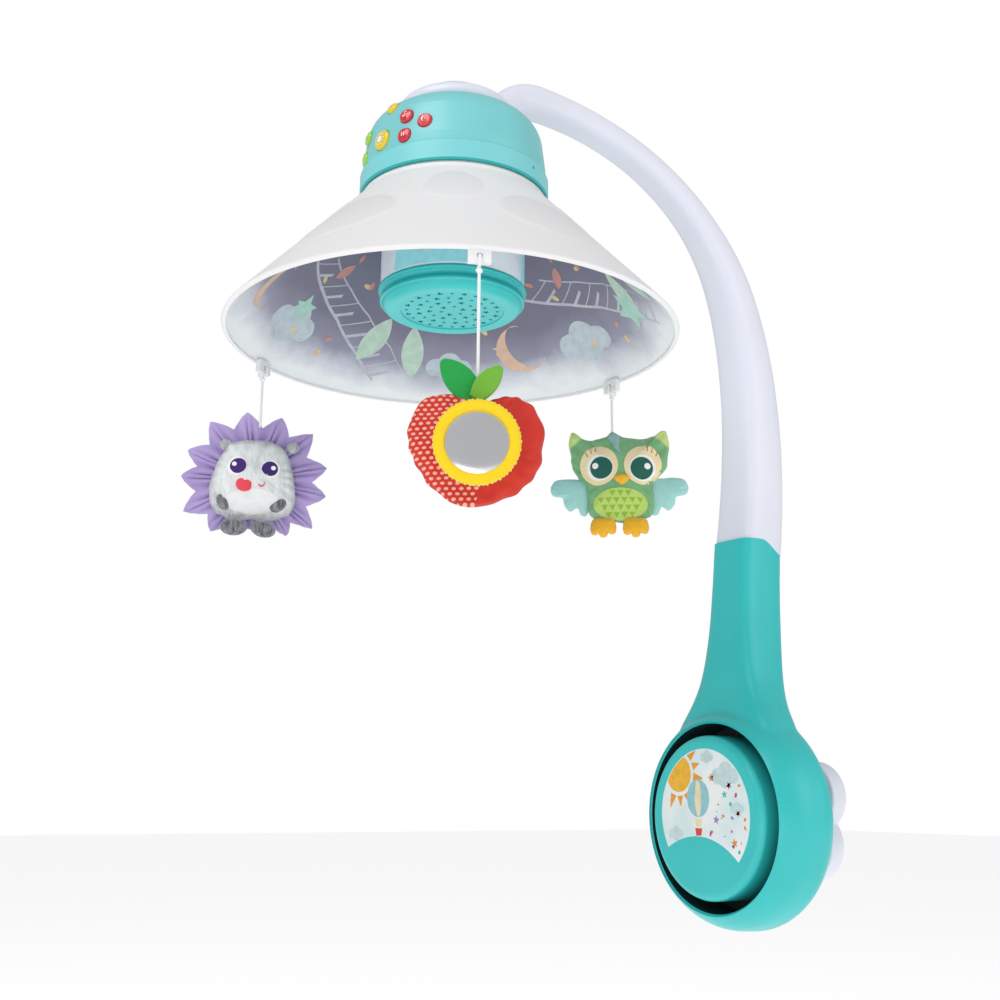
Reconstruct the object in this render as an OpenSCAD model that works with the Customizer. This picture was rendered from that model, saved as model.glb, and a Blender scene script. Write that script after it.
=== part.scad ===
// Crib mobile. A rail clamp carries a curved arm, and the arm's end carries a music-box head
// with a projector. A cone shade turns about the projector and three soft toys hang from its rim.
// The origin is on the clamp bolt's axis in the face that meets the crib rail, +X points into the
// crib and +Z points up. Sizes are in millimetres.

/* [Clamp] */
// Diameter of the round disc on the front of the clamp
disc_d = 113; // [106:1:116]
// Opening between the two jaw pads as stored
jaw_gap = 6; // [5:0.5:8]
// Diameter of the clamp bolt
bolt_d = 16; // [14:0.5:17]
// Width of the clover knob over two lobes
knob_w = 84; // [76:1:90]

/* [Lower arm] */
// Diameter of the round housing at the bottom of the arm
paddle_d = 155; // [150:1:160]
// Diameter of the pocket that the front disc stands in
pocket_d = 130; // [126:1:134]
// Height where the lower arm ends and the upper arm begins
seam_z = 200; // [190:1:205]

/* [Head] */
// Distance from the rail face to the head's axis
head_x = 280; // [270:1:290]
// Diameter of the head at its lower edge
head_d = 128; // [128:1:130]
// Height of the head's lower edge
head_z = 406; // [402:1:408]

/* [Shade] */
// Diameter of the shade at its rim
shade_d = 300; // [290:2:310]
// Height of the shade's rim
rim_z = 308; // [300:1:315]
// Thickness of the shade's wall
shade_wall = 2; // [1.6:0.1:2.6]

/* [Projector] */
// Diameter of the light diffuser
diffuser_d = 96; // [90:1:100]
// Diameter of the grille with the star holes
grille_d = 69; // [64:1:72]

/* [Toys] */
// Diameter of the strings
string_d = 1.8; // [1.2:0.1:2.4]
// Direction of the first hook, counted from +X
hook_turn = 65; // [50:1:70]

/* [Hidden] */
$fn = 64;

run_gap = 0.05;    // radial clearance of a running bore
part_gap = 0.3;    // gap between faces that move past each other
wall = 2.5;        // wall of the moulded housings

teal = [0.23, 0.76, 0.75];
pale_teal = [0.50, 0.82, 0.84];
white = [0.86, 0.87, 0.95];
satin = [0.93, 0.93, 0.93];
rubber = [0.25, 0.26, 0.28];
steel = [0.70, 0.71, 0.73];
green = [0.45, 0.68, 0.30];

// ---------- shared shapes ----------

// Turns a shape made along +Z so that it runs along +X from x
module along_x(x) { translate([x, 0, 0]) rotate([0, 90, 0]) children(); }

// Round bar or tube along +X between two stations
module bar_x(x0, x1, r) { along_x(x0) cylinder(h = x1 - x0, r = r); }
module tube_x(x0, x1, r_out, r_in) {
  difference() { bar_x(x0, x1, r_out); bar_x(x0 - 1, x1 + 1, r_in); }
}

// Tube about the head's axis between two heights
module head_axis() { translate([head_x, 0, 0]) children(); }
module ring_z(z0, z1, r_out, r_in) {
  translate([0, 0, z0]) difference() {
    cylinder(h = z1 - z0, r = r_out);
    translate([0, 0, -1]) cylinder(h = z1 - z0 + 2, r = r_in);
  }
}

// Points of an arc in a profile
function arc(cx, cy, r, a0, a1, n = 6) =
  [for (i = [0:n]) let (a = a0 + (a1 - a0) * i / n) [cx + r * cos(a), cy + r * sin(a)]];

// Point of a cubic Bezier curve
function bez(p, t) =
  pow(1 - t, 3) * p[0] + 3 * t * pow(1 - t, 2) * p[1] + 3 * t * t * (1 - t) * p[2] + pow(t, 3) * p[3];

// Smooth value between neighbouring stations [position, value]
function station(s, z) = len([for (p = s) if (p[0] <= z) 1]) - 1;
function smooth_at(s, z) =
  let (n = len(s), i = max(0, min(n - 2, station(s, z))),
       p0 = s[max(i - 1, 0)], p1 = s[i], p2 = s[i + 1], p3 = s[min(i + 2, n - 1)],
       t = (z - p1[0]) / (p2[0] - p1[0]), d = p2[0] - p1[0],
       m1 = (p2[1] - p0[1]) / (p2[0] - p0[0]) * d, m2 = (p3[1] - p1[1]) / (p3[0] - p1[0]) * d)
  (2 * t * t * t - 3 * t * t + 1) * p1[1] + (t * t * t - 2 * t * t + t) * m1
  + (3 * t * t - 2 * t * t * t) * p2[1] + (t * t * t - t * t) * m2;

// Rounded-square ring of half sizes a and b, as [along a, along b]
ring_n = 24;
function soft_pow(v, e) = sign(v) * pow(abs(v), e);
function soft_square(a, b, e) =
  [for (i = [0:ring_n - 1]) let (w = 360 * (i + 0.5) / ring_n)
    [a * soft_pow(cos(w), 2 / e), b * soft_pow(sin(w), 2 / e)]];

// Closed skin over a list of rings with the same number of points
module skin(rings) {
  n = len(rings[0]);
  m = len(rings);
  points = [for (r = rings) for (p = r) p];
  sides = [for (j = [0:m - 2]) for (i = [0:n - 1])
    [j * n + i, (j + 1) * n + i, (j + 1) * n + (i + 1) % n, j * n + (i + 1) % n]];
  polyhedron(points, concat([[for (i = [0:n - 1]) i]], sides,
    [[for (i = [n - 1:-1:0]) (m - 1) * n + i]]), convexity = 6);
}

// ---------- clamp ----------
pad_t = 3;
jaw_x = pad_t;                 // back of the fixed jaw
jaw_t = 7;
hub_r = 20;                    // hub that the arm swivels on
hub_end = 50;
disc_face = 68;
label_t = 0.4;
label_r = 45.2;
label_up = 2;                  // the label sits a little above the bolt's axis
bolt_r = bolt_d / 2;
bolt_clear = 0.3;
bolt_tail = -54;
thread_from = -12;
pitch = 4;
disc_screw_r = 1.6;
disc_screw_ring = 16;
disc_rim = 5;                  // rounding of the disc's edge

module label_shape(grow = 0) {
  translate([0, 0, label_up]) bar_x(disc_face - label_t, disc_face + grow, label_r);
}
module label_cut() { translate([0, -8, -73]) bar_x(disc_face - label_t - 1, disc_face + 2, 60); }

module front_disc() {
  r = disc_d / 2;
  back = 33;
  color(teal) difference() {
    along_x(0) rotate_extrude() polygon(concat(
      [[0, disc_face]], arc(r - disc_rim, disc_face - disc_rim, disc_rim, 90, 0),
      [[r, back], [r - wall, back], [r - wall, disc_face - 4 - 2], [r - wall - 2, disc_face - 4],
       [hub_r, disc_face - 4], [hub_r, hub_end], [12, hub_end], [12, hub_end + 9], [0, hub_end + 9]]));
    difference() { label_shape(1); label_cut(); }
    disc_screw_places() bar_x(hub_end - 1, 61, disc_screw_r);
  }
}
module disc_label() { color("white") difference() { label_shape(); label_cut(); } }

module disc_screw_places() {
  for (a = [30, 150, 270]) rotate([a, 0, 0]) translate([0, 0, disc_screw_ring]) children();
}
module disc_screws() {
  color(steel) disc_screw_places() union() {
    bar_x(5.5, 60, disc_screw_r);
    bar_x(3.5, 5.5, 3);
  }
}

module rear_jaw() {
  color(white) difference() {
    along_x(0) rotate_extrude() polygon(concat(
      [[0, jaw_x]], arc(46, jaw_x + 2, 2, -90, 0), arc(46, jaw_x + jaw_t - 2, 2, 0, 90),
      [[30, jaw_x + jaw_t], [30, 13.7], [hub_r, 13.7], [hub_r, hub_end], [0, hub_end]]));
    bar_x(0, hub_end + 1, bolt_r + bolt_clear);
    disc_screw_places() union() {
      bar_x(2, hub_end + 1, disc_screw_r);
      bar_x(2, 5.5, 3);
    }
  }
}
module rail_pad() {
  color(rubber) difference() {
    bar_x(0, pad_t, 46);
    bar_x(-1, pad_t + 1, bolt_r + 1);
  }
}

// Threaded tail of the bolt: rings whose radius follows the thread's flank round the axis
thread_n = 20;
thread_steps = 6;
function flank(u) = u < 0.15 ? 1 : u < 0.45 ? 1 - (u - 0.15) / 0.3 : u < 0.7 ? 0 : (u - 0.7) / 0.3;
function wrap(u) = u - floor(u);
function thread_r(x, a) = bolt_r - 1.4 + 1.4 * flank(wrap(x / pitch - a / 360));
module thread() {
  start = bolt_tail + 2;
  count = floor((thread_from - start) / pitch * thread_steps);
  step = (thread_from - start) / count;
  skin([for (j = [-1:count]) let (x = j < 0 ? bolt_tail : start + j * step)
    [for (i = [0:thread_n - 1]) let (a = 360 * i / thread_n,
      r = j < 0 ? bolt_r - 3 : j == count ? bolt_r - 1.4 : thread_r(x, a))
      [x, r * cos(a), r * sin(a)]]]);
}
module clamp_bolt() {
  color(steel) union() {
    thread();
    bar_x(thread_from, hub_end, bolt_r);
    along_x(hub_end) cylinder(h = 7, r = 11, $fn = 6);
  }
}

plate_front = -jaw_gap - pad_t;
plate_back = plate_front - 5;
module pressure_plate() {
  color(white) difference() {
    along_x(0) rotate_extrude() polygon(concat(
      [[0, plate_front]], arc(39, plate_front - 1.5, 1.5, 90, 0), arc(39, plate_back + 1.5, 1.5, 0, -90),
      [[0, plate_back]]));
    bar_x(plate_back - 1, plate_front + 1, bolt_r + run_gap);
  }
}
module pressure_pad() {
  color(rubber) difference() {
    bar_x(-jaw_gap - pad_t, -jaw_gap, 38);
    bar_x(-jaw_gap - pad_t - 1, -jaw_gap + 1, bolt_r + 1);
  }
}

knob_t = 16;
knob_rest = -7;                 // the lobes rest turned by this much
knob_front = plate_back - part_gap;
knob_back = knob_front - knob_t;
lobe_r = 25;
lobe_at = knob_w / 2 - lobe_r;
nut_r = 13;
nut_t = 11;
module lobe(r) {
  edge = 5;
  along_x(knob_back) rotate_extrude() polygon(concat(
    [[0, 0]], arc(r - edge, edge, edge, -90, 0), arc(r - 1, knob_t - 1, 1, 0, 90, 3), [[0, knob_t]]));
}
module clamp_knob() {
  color(white) rotate([knob_rest, 0, 0]) difference() {
    union() {
      lobe(24);
      for (y = [-1, 1]) for (z = [-1, 1]) translate([0, y * lobe_at, z * lobe_at]) lobe(lobe_r);
    }
    bar_x(knob_back - 1, knob_front + 1, bolt_r + 0.6);
    along_x(knob_front - nut_t) cylinder(h = nut_t + 1, r = nut_r, $fn = 6);
  }
}
module knob_nut() {
  color(steel) rotate([knob_rest, 0, 0]) difference() {
    along_x(knob_front - nut_t) cylinder(h = nut_t, r = nut_r, $fn = 6);
    bar_x(knob_front - nut_t - 1, knob_front + 1, bolt_r + run_gap);
  }
}

// ---------- lower arm ----------
paddle_r = paddle_d / 2;
pocket_r = pocket_d / 2;
lip_x = 63;
web_back = 24;
web_front = 30;
cover_x = 14;
cover_t = 3;
bearing_r = hub_r + run_gap;

// Side outline of the neck: back and front faces, and its width, by height
neck_back = [[0, 17], [60, 16], [97, 8], [128, 3], [160, 0.5], [205, -2.5]];
neck_front = [[0, 56], [60, 55], [97, 48.5], [128, 45], [160, 42], [205, 37.5]];
neck_width = [[0, 112], [40, 112], [60, 98], [80, 72], [98, 57], [128, 45.5], [160, 41], [205, 40]];

function neck_ring(z, inset) =
  let (xb = smooth_at(neck_back, z) + inset, xf = smooth_at(neck_front, z) - inset,
       w = smooth_at(neck_width, z) / 2 - inset)
  [for (p = soft_square((xf - xb) / 2, w, 4.5)) [(xb + xf) / 2 + p[0], p[1], z]];

module neck(z0, z1, inset = 0) {
  count = round((z1 - z0) / 11);
  skin([for (i = [0:count]) neck_ring(z0 + (z1 - z0) * i / count, inset)]);
}

// Round housing: narrow lip at the front, full belly, and a rounded back edge
module barrel() {
  along_x(0) rotate_extrude() polygon(concat(
    [[0, cover_x], [paddle_r - 17, cover_x]], arc(paddle_r - 15, cover_x + 15, 15, -82, 0, 8),
    [[paddle_r - 0.6, 41], [paddle_r - 3.5, 52], [pocket_r + 4, 60], [pocket_r + 1.5, lip_x], [0, lip_x]]));
}

// The seam between the two arm parts drops towards the back of the arm
module above_seam(lift = 0) {
  drop = 10;
  rotate([90, 0, 0]) linear_extrude(height = 80, center = true) polygon(concat(
    [[-30, 400], [-30, seam_z - drop + lift]],
    [for (i = [0:8]) let (t = i / 8) [2 + 20 * t, seam_z - drop * (1 - t * t * (3 - 2 * t)) + lift]],
    [[70, seam_z + lift], [70, 400]]));
}

module cover_screw_places() {
  for (a = [45:90:315]) rotate([a, 0, 0]) translate([0, 0, 47]) children();
}
module lower_arm() {
  color(teal) difference() {
    union() { barrel(); neck(20, 208); }
    neck(76, 210, wall);
    above_seam();
    bar_x(web_front, lip_x + 1, pocket_r);
    difference() {
      bar_x(cover_x - 1, web_back, 56);
      cover_screw_places() bar_x(cover_x + cover_t, web_back + 1, 4);
    }
    bar_x(cover_x, web_front + 1, bearing_r);
    cover_screw_places() bar_x(cover_x, web_back - 0.5, 1.3);
  }
}
module lower_arm_cover() {
  color(teal) difference() {
    bar_x(cover_x, cover_x + cover_t, 55.8);
    bar_x(cover_x - 1, cover_x + cover_t + 1, bearing_r);
    cover_screw_places() bar_x(cover_x - 1, cover_x + cover_t + 1, 1.3);
    cover_screw_places() bar_x(cover_x - 1, cover_x + 1.5, 2.6);
  }
}
module cover_screws() {
  color(steel) cover_screw_places() union() {
    bar_x(cover_x + 1.5, web_back - 0.5, 1.3);
    bar_x(cover_x, cover_x + 1.5, 2.6);
  }
}

// ---------- upper arm ----------
// Centre line in the XZ plane, as two Bezier curves that meet smoothly
arm_rise = [[18, 190], [8, 250], [4, 330], [28, 395]];
arm_bow = [[28, 395], [50, 454], [112, 500], [206, 502]];
arm_end = [[206, 502], [226, 502], [240, 497], [250, 476]];
function arm_point(t) = t < 1 ? bez(arm_rise, t) : t < 2 ? bez(arm_bow, t - 1) : bez(arm_end, t - 2);
function arm_dir(t) = let (d = arm_point(min(t + 0.01, 3)) - arm_point(max(t - 0.01, 0))) d / norm(d);
arm_thick = [[0, 20], [0.6, 18.6], [1, 15.6], [1.35, 12.2], [1.8, 10.4], [2.2, 11], [3, 10]];
arm_wide = [[0, 20], [0.6, 19], [1, 16.2], [1.35, 13], [1.8, 11.5], [2.2, 13], [3, 15]];
function arm_ring(t, inset) =
  let (c = arm_point(t), d = arm_dir(t),
       a = smooth_at(arm_thick, t) - inset, b = smooth_at(arm_wide, t) - inset)
  [for (p = soft_square(a, b, 3)) [c[0] + p[0] * d[1], p[1], c[1] - p[0] * d[0]]];
module arm_tube(t0, t1, count, inset = 0) {
  skin([for (i = [0:count]) arm_ring(t0 + (t1 - t0) * i / count, inset)]);
}

hub_z = 465.5;
hub_top = 486.5;
cap_r = 40;                        // low dome over the head, highest round its nut
nut_pocket_r = 20;
nut_seat_z = hub_z + 11;
module hub_outer() {
  head_axis() rotate_extrude() polygon(concat(
    [[0, hub_z], [cap_r - 4, hub_z]], arc(cap_r - 4, hub_z + 4, 4, -90, 0, 5),
    [[cap_r - 0.6, hub_z + 7], [cap_r - 2.2, hub_z + 9.4], [32, hub_top - 8.2], [24, hub_top - 2.6],
     [nut_pocket_r + 1.5, hub_top - 0.6], [nut_pocket_r, hub_top], [0, hub_top]]));
}
stud_r = 15;
module upper_arm() {
  color(white) difference() {
    union() { arm_tube(0, 3, 34); hub_outer(); }
    arm_tube(0, 2.75, 30, wall);
    difference() { translate([-60, -60, 150]) cube([160, 120, 80]); above_seam(); }
    head_axis() translate([0, 0, hub_z - 1]) cylinder(h = 13, r = stud_r + 0.1);
    head_axis() translate([0, 0, nut_seat_z]) cylinder(h = 30, r = nut_pocket_r);
  }
}
module arm_spigot() {
  foot = neck_ring(150, wall + 1.6);
  color(white) skin([foot, neck_ring(178, wall + 2), arm_ring(0.22, wall + 2)]);
}
module hub_nut() {
  color(steel) head_axis() difference() {
    translate([0, 0, nut_seat_z + 0.05]) cylinder(h = 5, r = 19, $fn = 6);
    translate([0, 0, nut_seat_z - 1]) cylinder(h = 8, r = 8);
  }
}
module hub_lid() {
  color(white) head_axis() translate([0, 0, hub_top - 2]) cylinder(h = 2, r = nut_pocket_r - 0.1);
}

// ---------- head ----------
head_r = head_d / 2;
base_t = 15;                       // height of the base ring
dome_z = head_z + base_t;
dome_top = 465;
dome_r = head_r - 1.8;
function dome_profile(inset) = concat(
  [[0, dome_top - inset]], [[22, dome_top - 0.4 - inset]],
  arc(dome_r - 24, shoulder_z, 22 - inset, 88, 8, 8),
  [[dome_r - inset, dome_z + 6], [dome_r - inset, dome_z]]);
module dome_solid(inset) {
  head_axis() rotate_extrude() polygon(concat(dome_profile(inset), [[0, dome_z]]));
}

// Buttons: name, direction, height above the dome's lower edge, tilt of the dome there, radius
buttons = [
  ["yellow_large", 9, 9, 3, 7.2], ["yellow_small", 14, 31.5, 30, 4.6],
  ["red_1", 28, 20, 10, 5.2], ["red_2", 40.5, 14, 6, 5.2], ["red_3", 27.5, 6, 2, 5.2],
  ["green_1", -11, 20, 10, 5.2], ["green_2", -14, 6, 2, 5.2]
];
shoulder_z = dome_top - 22.5;
function dome_at(z) = z < shoulder_z ? dome_r - 0.07 * (z - dome_z)
  : dome_r - 24 + sqrt(max(0, 22 * 22 - pow(z - shoulder_z, 2)));
// Puts a shape made along +Z on the dome's skin, pointing outwards
module at_button(i) {
  b = buttons[i];
  z = dome_z + b[2];
  head_axis() rotate([0, 0, b[1]]) translate([dome_at(z), 0, z]) rotate([0, 90 - b[3], 0])
    children();
}
module button(i) {
  r = buttons[i][4];
  at_button(i) union() {
    translate([0, 0, -4.5]) rotate_extrude() polygon(concat(
      [[0, 0], [r - part_gap, 0], [r - part_gap, 4.7]],
      arc(r - part_gap - 1.6, 4.7, 1.6, 0, 90, 5), [[0, 6.9]]));
    translate([0, 0, -5.5]) cylinder(h = 2, r = 1.5);
  }
}
module button_holes() {
  for (i = [0:len(buttons) - 1]) at_button(i) translate([0, 0, -6]) cylinder(h = 14, r = buttons[i][4]);
}

door_turn = 30;
door_z = 425;
door_h = 22;
module door_wedge(slack) {
  spread = door_turn + slack;
  head_axis() translate([0, 0, door_z - slack / 2]) linear_extrude(height = door_h + slack)
    polygon([[0, 0], for (i = [-3:3]) let (a = 180 + spread * i / 3) 80 * [cos(a), sin(a)]]);
}
module head_dome() {
  color(pale_teal) difference() {
    union() {
      difference() { dome_solid(0); dome_solid(wall); }
      head_axis() translate([0, 0, dome_top - 3]) cylinder(h = nut_seat_z - dome_top + 2.9, r = stud_r);
      head_axis() translate([0, 0, dome_top - 3]) cylinder(h = hub_top - dome_top, r = 7.9);
    }
    button_holes();
    door_wedge(0.6);
  }
}
module battery_door() {
  color(pale_teal) intersection() {
    difference() { dome_solid(0); dome_solid(wall); }
    door_wedge(0);
  }
}
flange_z = head_z + 7.5;
module head_base() {
  color(pale_teal) head_axis() difference() {
    rotate_extrude() polygon([[head_r - wall, head_z], [head_r - 0.8, head_z], [head_r, head_z + 1],
      [head_r, head_z + base_t - 1.5], [dome_r, dome_z], [head_r - wall - 2, dome_z],
      [head_r - wall - 2, flange_z + 3], [head_r - wall - 6, flange_z + 3],
      [head_r - wall - 6, flange_z + 1], [head_r - wall, flange_z - 2]]);
    rotate([0, 0, 113]) translate([0, 0, flange_z + 1.2]) bar_x(head_r - 3, head_r + 2, 1.2);
  }
}

// ---------- inside the head ----------
chassis_z = flange_z + 3;
chassis_t = 2.5;
floor_z = chassis_z + chassis_t;
chassis_r = head_r - wall - 2.1;
column_r = 20;
gear_z = head_z - 0.5;
gear_t = 5;
module_g = 1.25;
shade_teeth = 60;
idler_teeth = 16;
pinion_teeth = 10;
idler_turn = 150;
idler_pos = module_g * (shade_teeth + idler_teeth) / 2 + 0.1;
function polar(r, a) = [r * cos(a), r * sin(a), 0];
idler_at = polar(idler_pos, idler_turn);
pinion_dir = idler_turn - 98.5;    // from the idler towards the motor, outside the big gear
pinion_at = idler_at + polar(module_g * (idler_teeth + pinion_teeth) / 2 + 0.1, pinion_dir);
axle_r = 1.5;

head_screw_ring = 52;
head_screw_turns = [80, 240, 320];
module screw_places() {
  for (a = head_screw_turns) rotate([0, 0, a]) translate([head_screw_ring, 0, 0]) children();
}
module chassis() {
  color(white) head_axis() difference() {
    union() {
      translate([0, 0, chassis_z]) cylinder(h = chassis_t, r = chassis_r);
      screw_places() translate([0, 0, floor_z - 1]) cylinder(h = 9, r = 3);
    }
    translate([0, 0, chassis_z - 1]) cylinder(h = 20, r = column_r - wall - 0.1);
    translate(pinion_at) translate([0, 0, chassis_z - 1]) cylinder(h = 10, r = 3);
    translate(idler_at) translate([0, 0, chassis_z - 1]) cylinder(h = 10, r = axle_r);
    screw_places() translate([0, 0, chassis_z - 1]) cylinder(h = 20, r = 1.3);
  }
}
module head_screws() {
  color(steel) head_axis() screw_places() union() {
    translate([0, 0, chassis_z - 1.6]) cylinder(h = 1.6, r = 2.4);
    translate([0, 0, chassis_z]) cylinder(h = 9, r = 1.3);
  }
}
motor_z = floor_z;
module motor() {
  color(steel) head_axis() translate(pinion_at) difference() {
    translate([0, 0, motor_z]) cylinder(h = 19, r = 9);
    translate([0, 0, motor_z - 1]) cylinder(h = 12, r = 1 + run_gap);
  }
}
cell_r = 7.2;
cell_x = [-44, -28];
module battery_cells() {
  color("gold") head_axis() for (x = cell_x)
    translate([x, 22, floor_z + cell_r + 0.5]) rotate([90, 0, 0]) cylinder(h = 44, r = cell_r);
}
module battery_contacts() {
  color(steel) head_axis() for (y = [22.2, -23]) difference() {
    translate([cell_x[0] - 6, y, floor_z]) cube([cell_x[1] - cell_x[0] + 12, 0.8, 15]);
    translate([(cell_x[0] + cell_x[1]) / 2 - 1, y - 1, floor_z + 3]) cube([2, 3, 20]);
  }
}
board_x = 33;
module circuit_board() {
  color("darkgreen") head_axis() union() {
    translate([board_x, -30, floor_z]) cube([1.6, 60, 24]);
    translate([board_x - 4, -10, floor_z + 5]) cube([4, 12, 12]);
    translate([board_x - 6, 12, floor_z + 4]) cube([6, 8, 6]);
  }
}
// Rubber mat with a sprung dome behind each button
mat_r = 53;
mat_top = 446;
module key_mat() {
  color(rubber) head_axis() difference() {
    ring_z(floor_z + 3, mat_top, mat_r, mat_r - 2);
    translate([-70, -70, 400]) cube([70, 140, 80]);
    rotate([0, 0, 50]) translate([-5, 0, 400]) cube([80, 80, 80]);
    rotate([0, 0, -115]) translate([-5, 0, 400]) cube([80, 80, 80]);
  }
}

// ---------- projector ----------
diff_r = diffuser_d / 2;
diff_z = 342;
diff_top = 392;
grille_r = grille_d / 2;
grille_z = 328.5;
shade_plate_z = head_z - 6;
module projector_column() {
  color(white) head_axis() union() {
    ring_z(diff_z + 5, chassis_z, column_r, column_r - wall);
    ring_z(diff_top, diff_top + 3, diff_r - 0.2, column_r - wall);
    ring_z(diff_top + 3, shade_plate_z - part_gap, column_r + 5, column_r - wall);
  }
}
module diffuser() {
  color([0.9, 0.95, 0.97, 0.6]) head_axis() ring_z(diff_z, diff_top, diff_r, diff_r - 1.8);
}
module led_board() {
  color("darkgreen") head_axis() union() {
    ring_z(diff_z + 3, diff_z + 5, diff_r - 3, 6);
    for (a = [0:60:300]) rotate([0, 0, a]) translate([34, 0, diff_z + 5]) cylinder(h = 3, r1 = 2.5, r2 = 2);
  }
}
// Ring under the diffuser: bead, hollow groove, second bead, and a rounded bottom
lip_r = diff_r - 7.5;
module projector_ring() {
  color(teal) head_axis() rotate_extrude() polygon(concat(
    [[diff_r - 4, diff_z]], [[diff_r, diff_z]], arc(diff_r, diff_z - 1.6, 1.6, 90, -60, 5),
    arc(diff_r + 1.2, diff_z - 5.4, 2.6, 120, 215, 5), arc(diff_r - 2.6, diff_z - 8.6, 2.8, 40, -15, 4),
    arc(lip_r, grille_z + 5.8, 6.8, -20, -90, 5),
    [[grille_r, grille_z - 0.6], [grille_r, grille_z + 2], [lip_r - 4, grille_z + 4],
     [diff_r - 4.5, diff_z - 5]]));
}
// Cone and magnet, from the grille's back to the lamp board
module speaker() {
  cone_z = grille_z + 4.5;
  color(rubber) head_axis() rotate_extrude() polygon([[0, cone_z], [27, cone_z], [27, cone_z + 2],
    [14, cone_z + 6], [14, diff_z + 2.5], [0, diff_z + 2.5]]);
}
module star(r, points = 5) {
  polygon([for (i = [0:2 * points - 1]) let (a = 180 * i / points, q = i % 2 == 0 ? r : r * 0.45)
    [q * cos(a), q * sin(a)]]);
}
star_pitch = grille_r / 4.55;
module star_grille() {
  color(teal) head_axis() difference() {
    translate([0, 0, grille_z]) cylinder(h = 2, r = grille_r);
    for (k = [1:4]) for (i = [0:6 * k - 1]) rotate([0, 0, 360 * i / (6 * k) + 11 * k])
      translate([star_pitch * k, 0, grille_z - 1]) rotate([0, 0, 37 * i])
        linear_extrude(height = 4) star(i % 2 == 0 ? 2.7 : 1.9);
  }
}

// ---------- gears ----------
// Straight-flanked teeth, thinned for running clearance
module gear(teeth, turn = 0) {
  r = module_g * teeth / 2;
  root = r - 1.2 * module_g;
  tip = r + 0.85 * module_g;
  half_root = 180 / teeth * 0.70;
  half_tip = 180 / teeth * 0.26;
  polygon([for (i = [0:teeth - 1]) let (a = turn + 360 * i / teeth)
    for (p = [[root, -half_root], [tip, -half_tip], [tip, half_tip], [root, half_root]])
      [p[0] * cos(a + p[1]), p[0] * sin(a + p[1])]]);
}
// Turn that puts a gap of the follower on a tooth of its neighbour seen in direction a
function mesh_turn(teeth, a) = a + 180 + 180 / teeth;
shade_gear_turn = idler_turn;
idler_gear_turn = mesh_turn(idler_teeth, idler_turn);
idler_phase = (pinion_dir - idler_gear_turn) * idler_teeth / 360;
pinion_turn = mesh_turn(pinion_teeth, pinion_dir) + idler_phase * 360 / pinion_teeth;

module shade_gear() {
  color(white) head_axis() translate([0, 0, gear_z]) difference() {
    union() {
      linear_extrude(height = gear_t) gear(shade_teeth, shade_gear_turn);
      translate([0, 0, shade_plate_z + 2.5 - gear_z]) cylinder(h = gear_z - shade_plate_z - 2.5, r = 34);
    }
    translate([0, 0, -10]) cylinder(h = 30, r = column_r + run_gap);
  }
}
module idler_gear() {
  color("ivory") head_axis() translate(idler_at) translate([0, 0, gear_z]) difference() {
    linear_extrude(height = gear_t) gear(idler_teeth, idler_gear_turn);
    translate([0, 0, -1]) cylinder(h = gear_t + 2, r = axle_r + run_gap);
  }
}
module idler_pin() {
  color(steel) head_axis() translate(idler_at) translate([0, 0, gear_z]) union() {
    cylinder(h = floor_z - gear_z, r = axle_r);
    translate([0, 0, gear_t + part_gap]) cylinder(h = chassis_z - gear_z - gear_t - part_gap, r = 2.5);
  }
}
module motor_pinion() {
  color("ivory") head_axis() translate(pinion_at) translate([0, 0, gear_z]) union() {
    linear_extrude(height = gear_t) gear(pinion_teeth, pinion_turn);
    cylinder(h = motor_z + 10 - gear_z, r = 1);
  }
}

// ---------- shade ----------
shade_r = shade_d / 2;
shade_top_r = head_r - 4;
shade_top_z = head_z - 1.5;
lip_top = head_z + 2.5;            // lip between the idler gear and the head's base ring
rim_inner_r = shade_r - shade_wall * 1.6;
tab_t = 4;
tab_h = 9;
hook_r = rim_inner_r - tab_t / 2;
hook_z = rim_z - 7;
eye_z = hook_z + 4;                // hole that the string is tied through
hook_turns = [hook_turn, hook_turn + 120, hook_turn + 240];
module shade() {
  color(satin) head_axis() rotate_extrude() polygon(concat(
    [[column_r + run_gap, shade_plate_z], [shade_top_r - 1.2, shade_plate_z],
     [rim_inner_r, rim_z + 2], [rim_inner_r, rim_z]],
    arc(shade_r - 1, rim_z + 1, 1, -90, 30, 4),
    [[head_r - 0.6, shade_top_z - 3], [head_r - 0.9, shade_top_z - 0.5], [head_r - 1.9, shade_top_z + 0.4],
     [shade_top_r + 0.8, shade_top_z + 0.4], [shade_top_r + 0.8, lip_top], [shade_top_r - 0.7, lip_top],
     [shade_top_r - 0.7, shade_plate_z + 2.5], [column_r + run_gap, shade_plate_z + 2.5]]));
}
module hook_tabs() {
  color(white) head_axis() intersection() {
    translate([0, 0, hook_z]) cylinder(h = tab_h, r = rim_inner_r, $fn = 720);
    for (a = hook_turns) rotate([0, 0, a]) difference() {
      translate([hook_r - tab_t / 2, -6.5, hook_z]) cube([tab_t + 1, 13, tab_h]);
      translate([0, 0, eye_z]) bar_x(hook_r - tab_t, hook_r + tab_t, 1.6);
    }
  }
}

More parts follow.
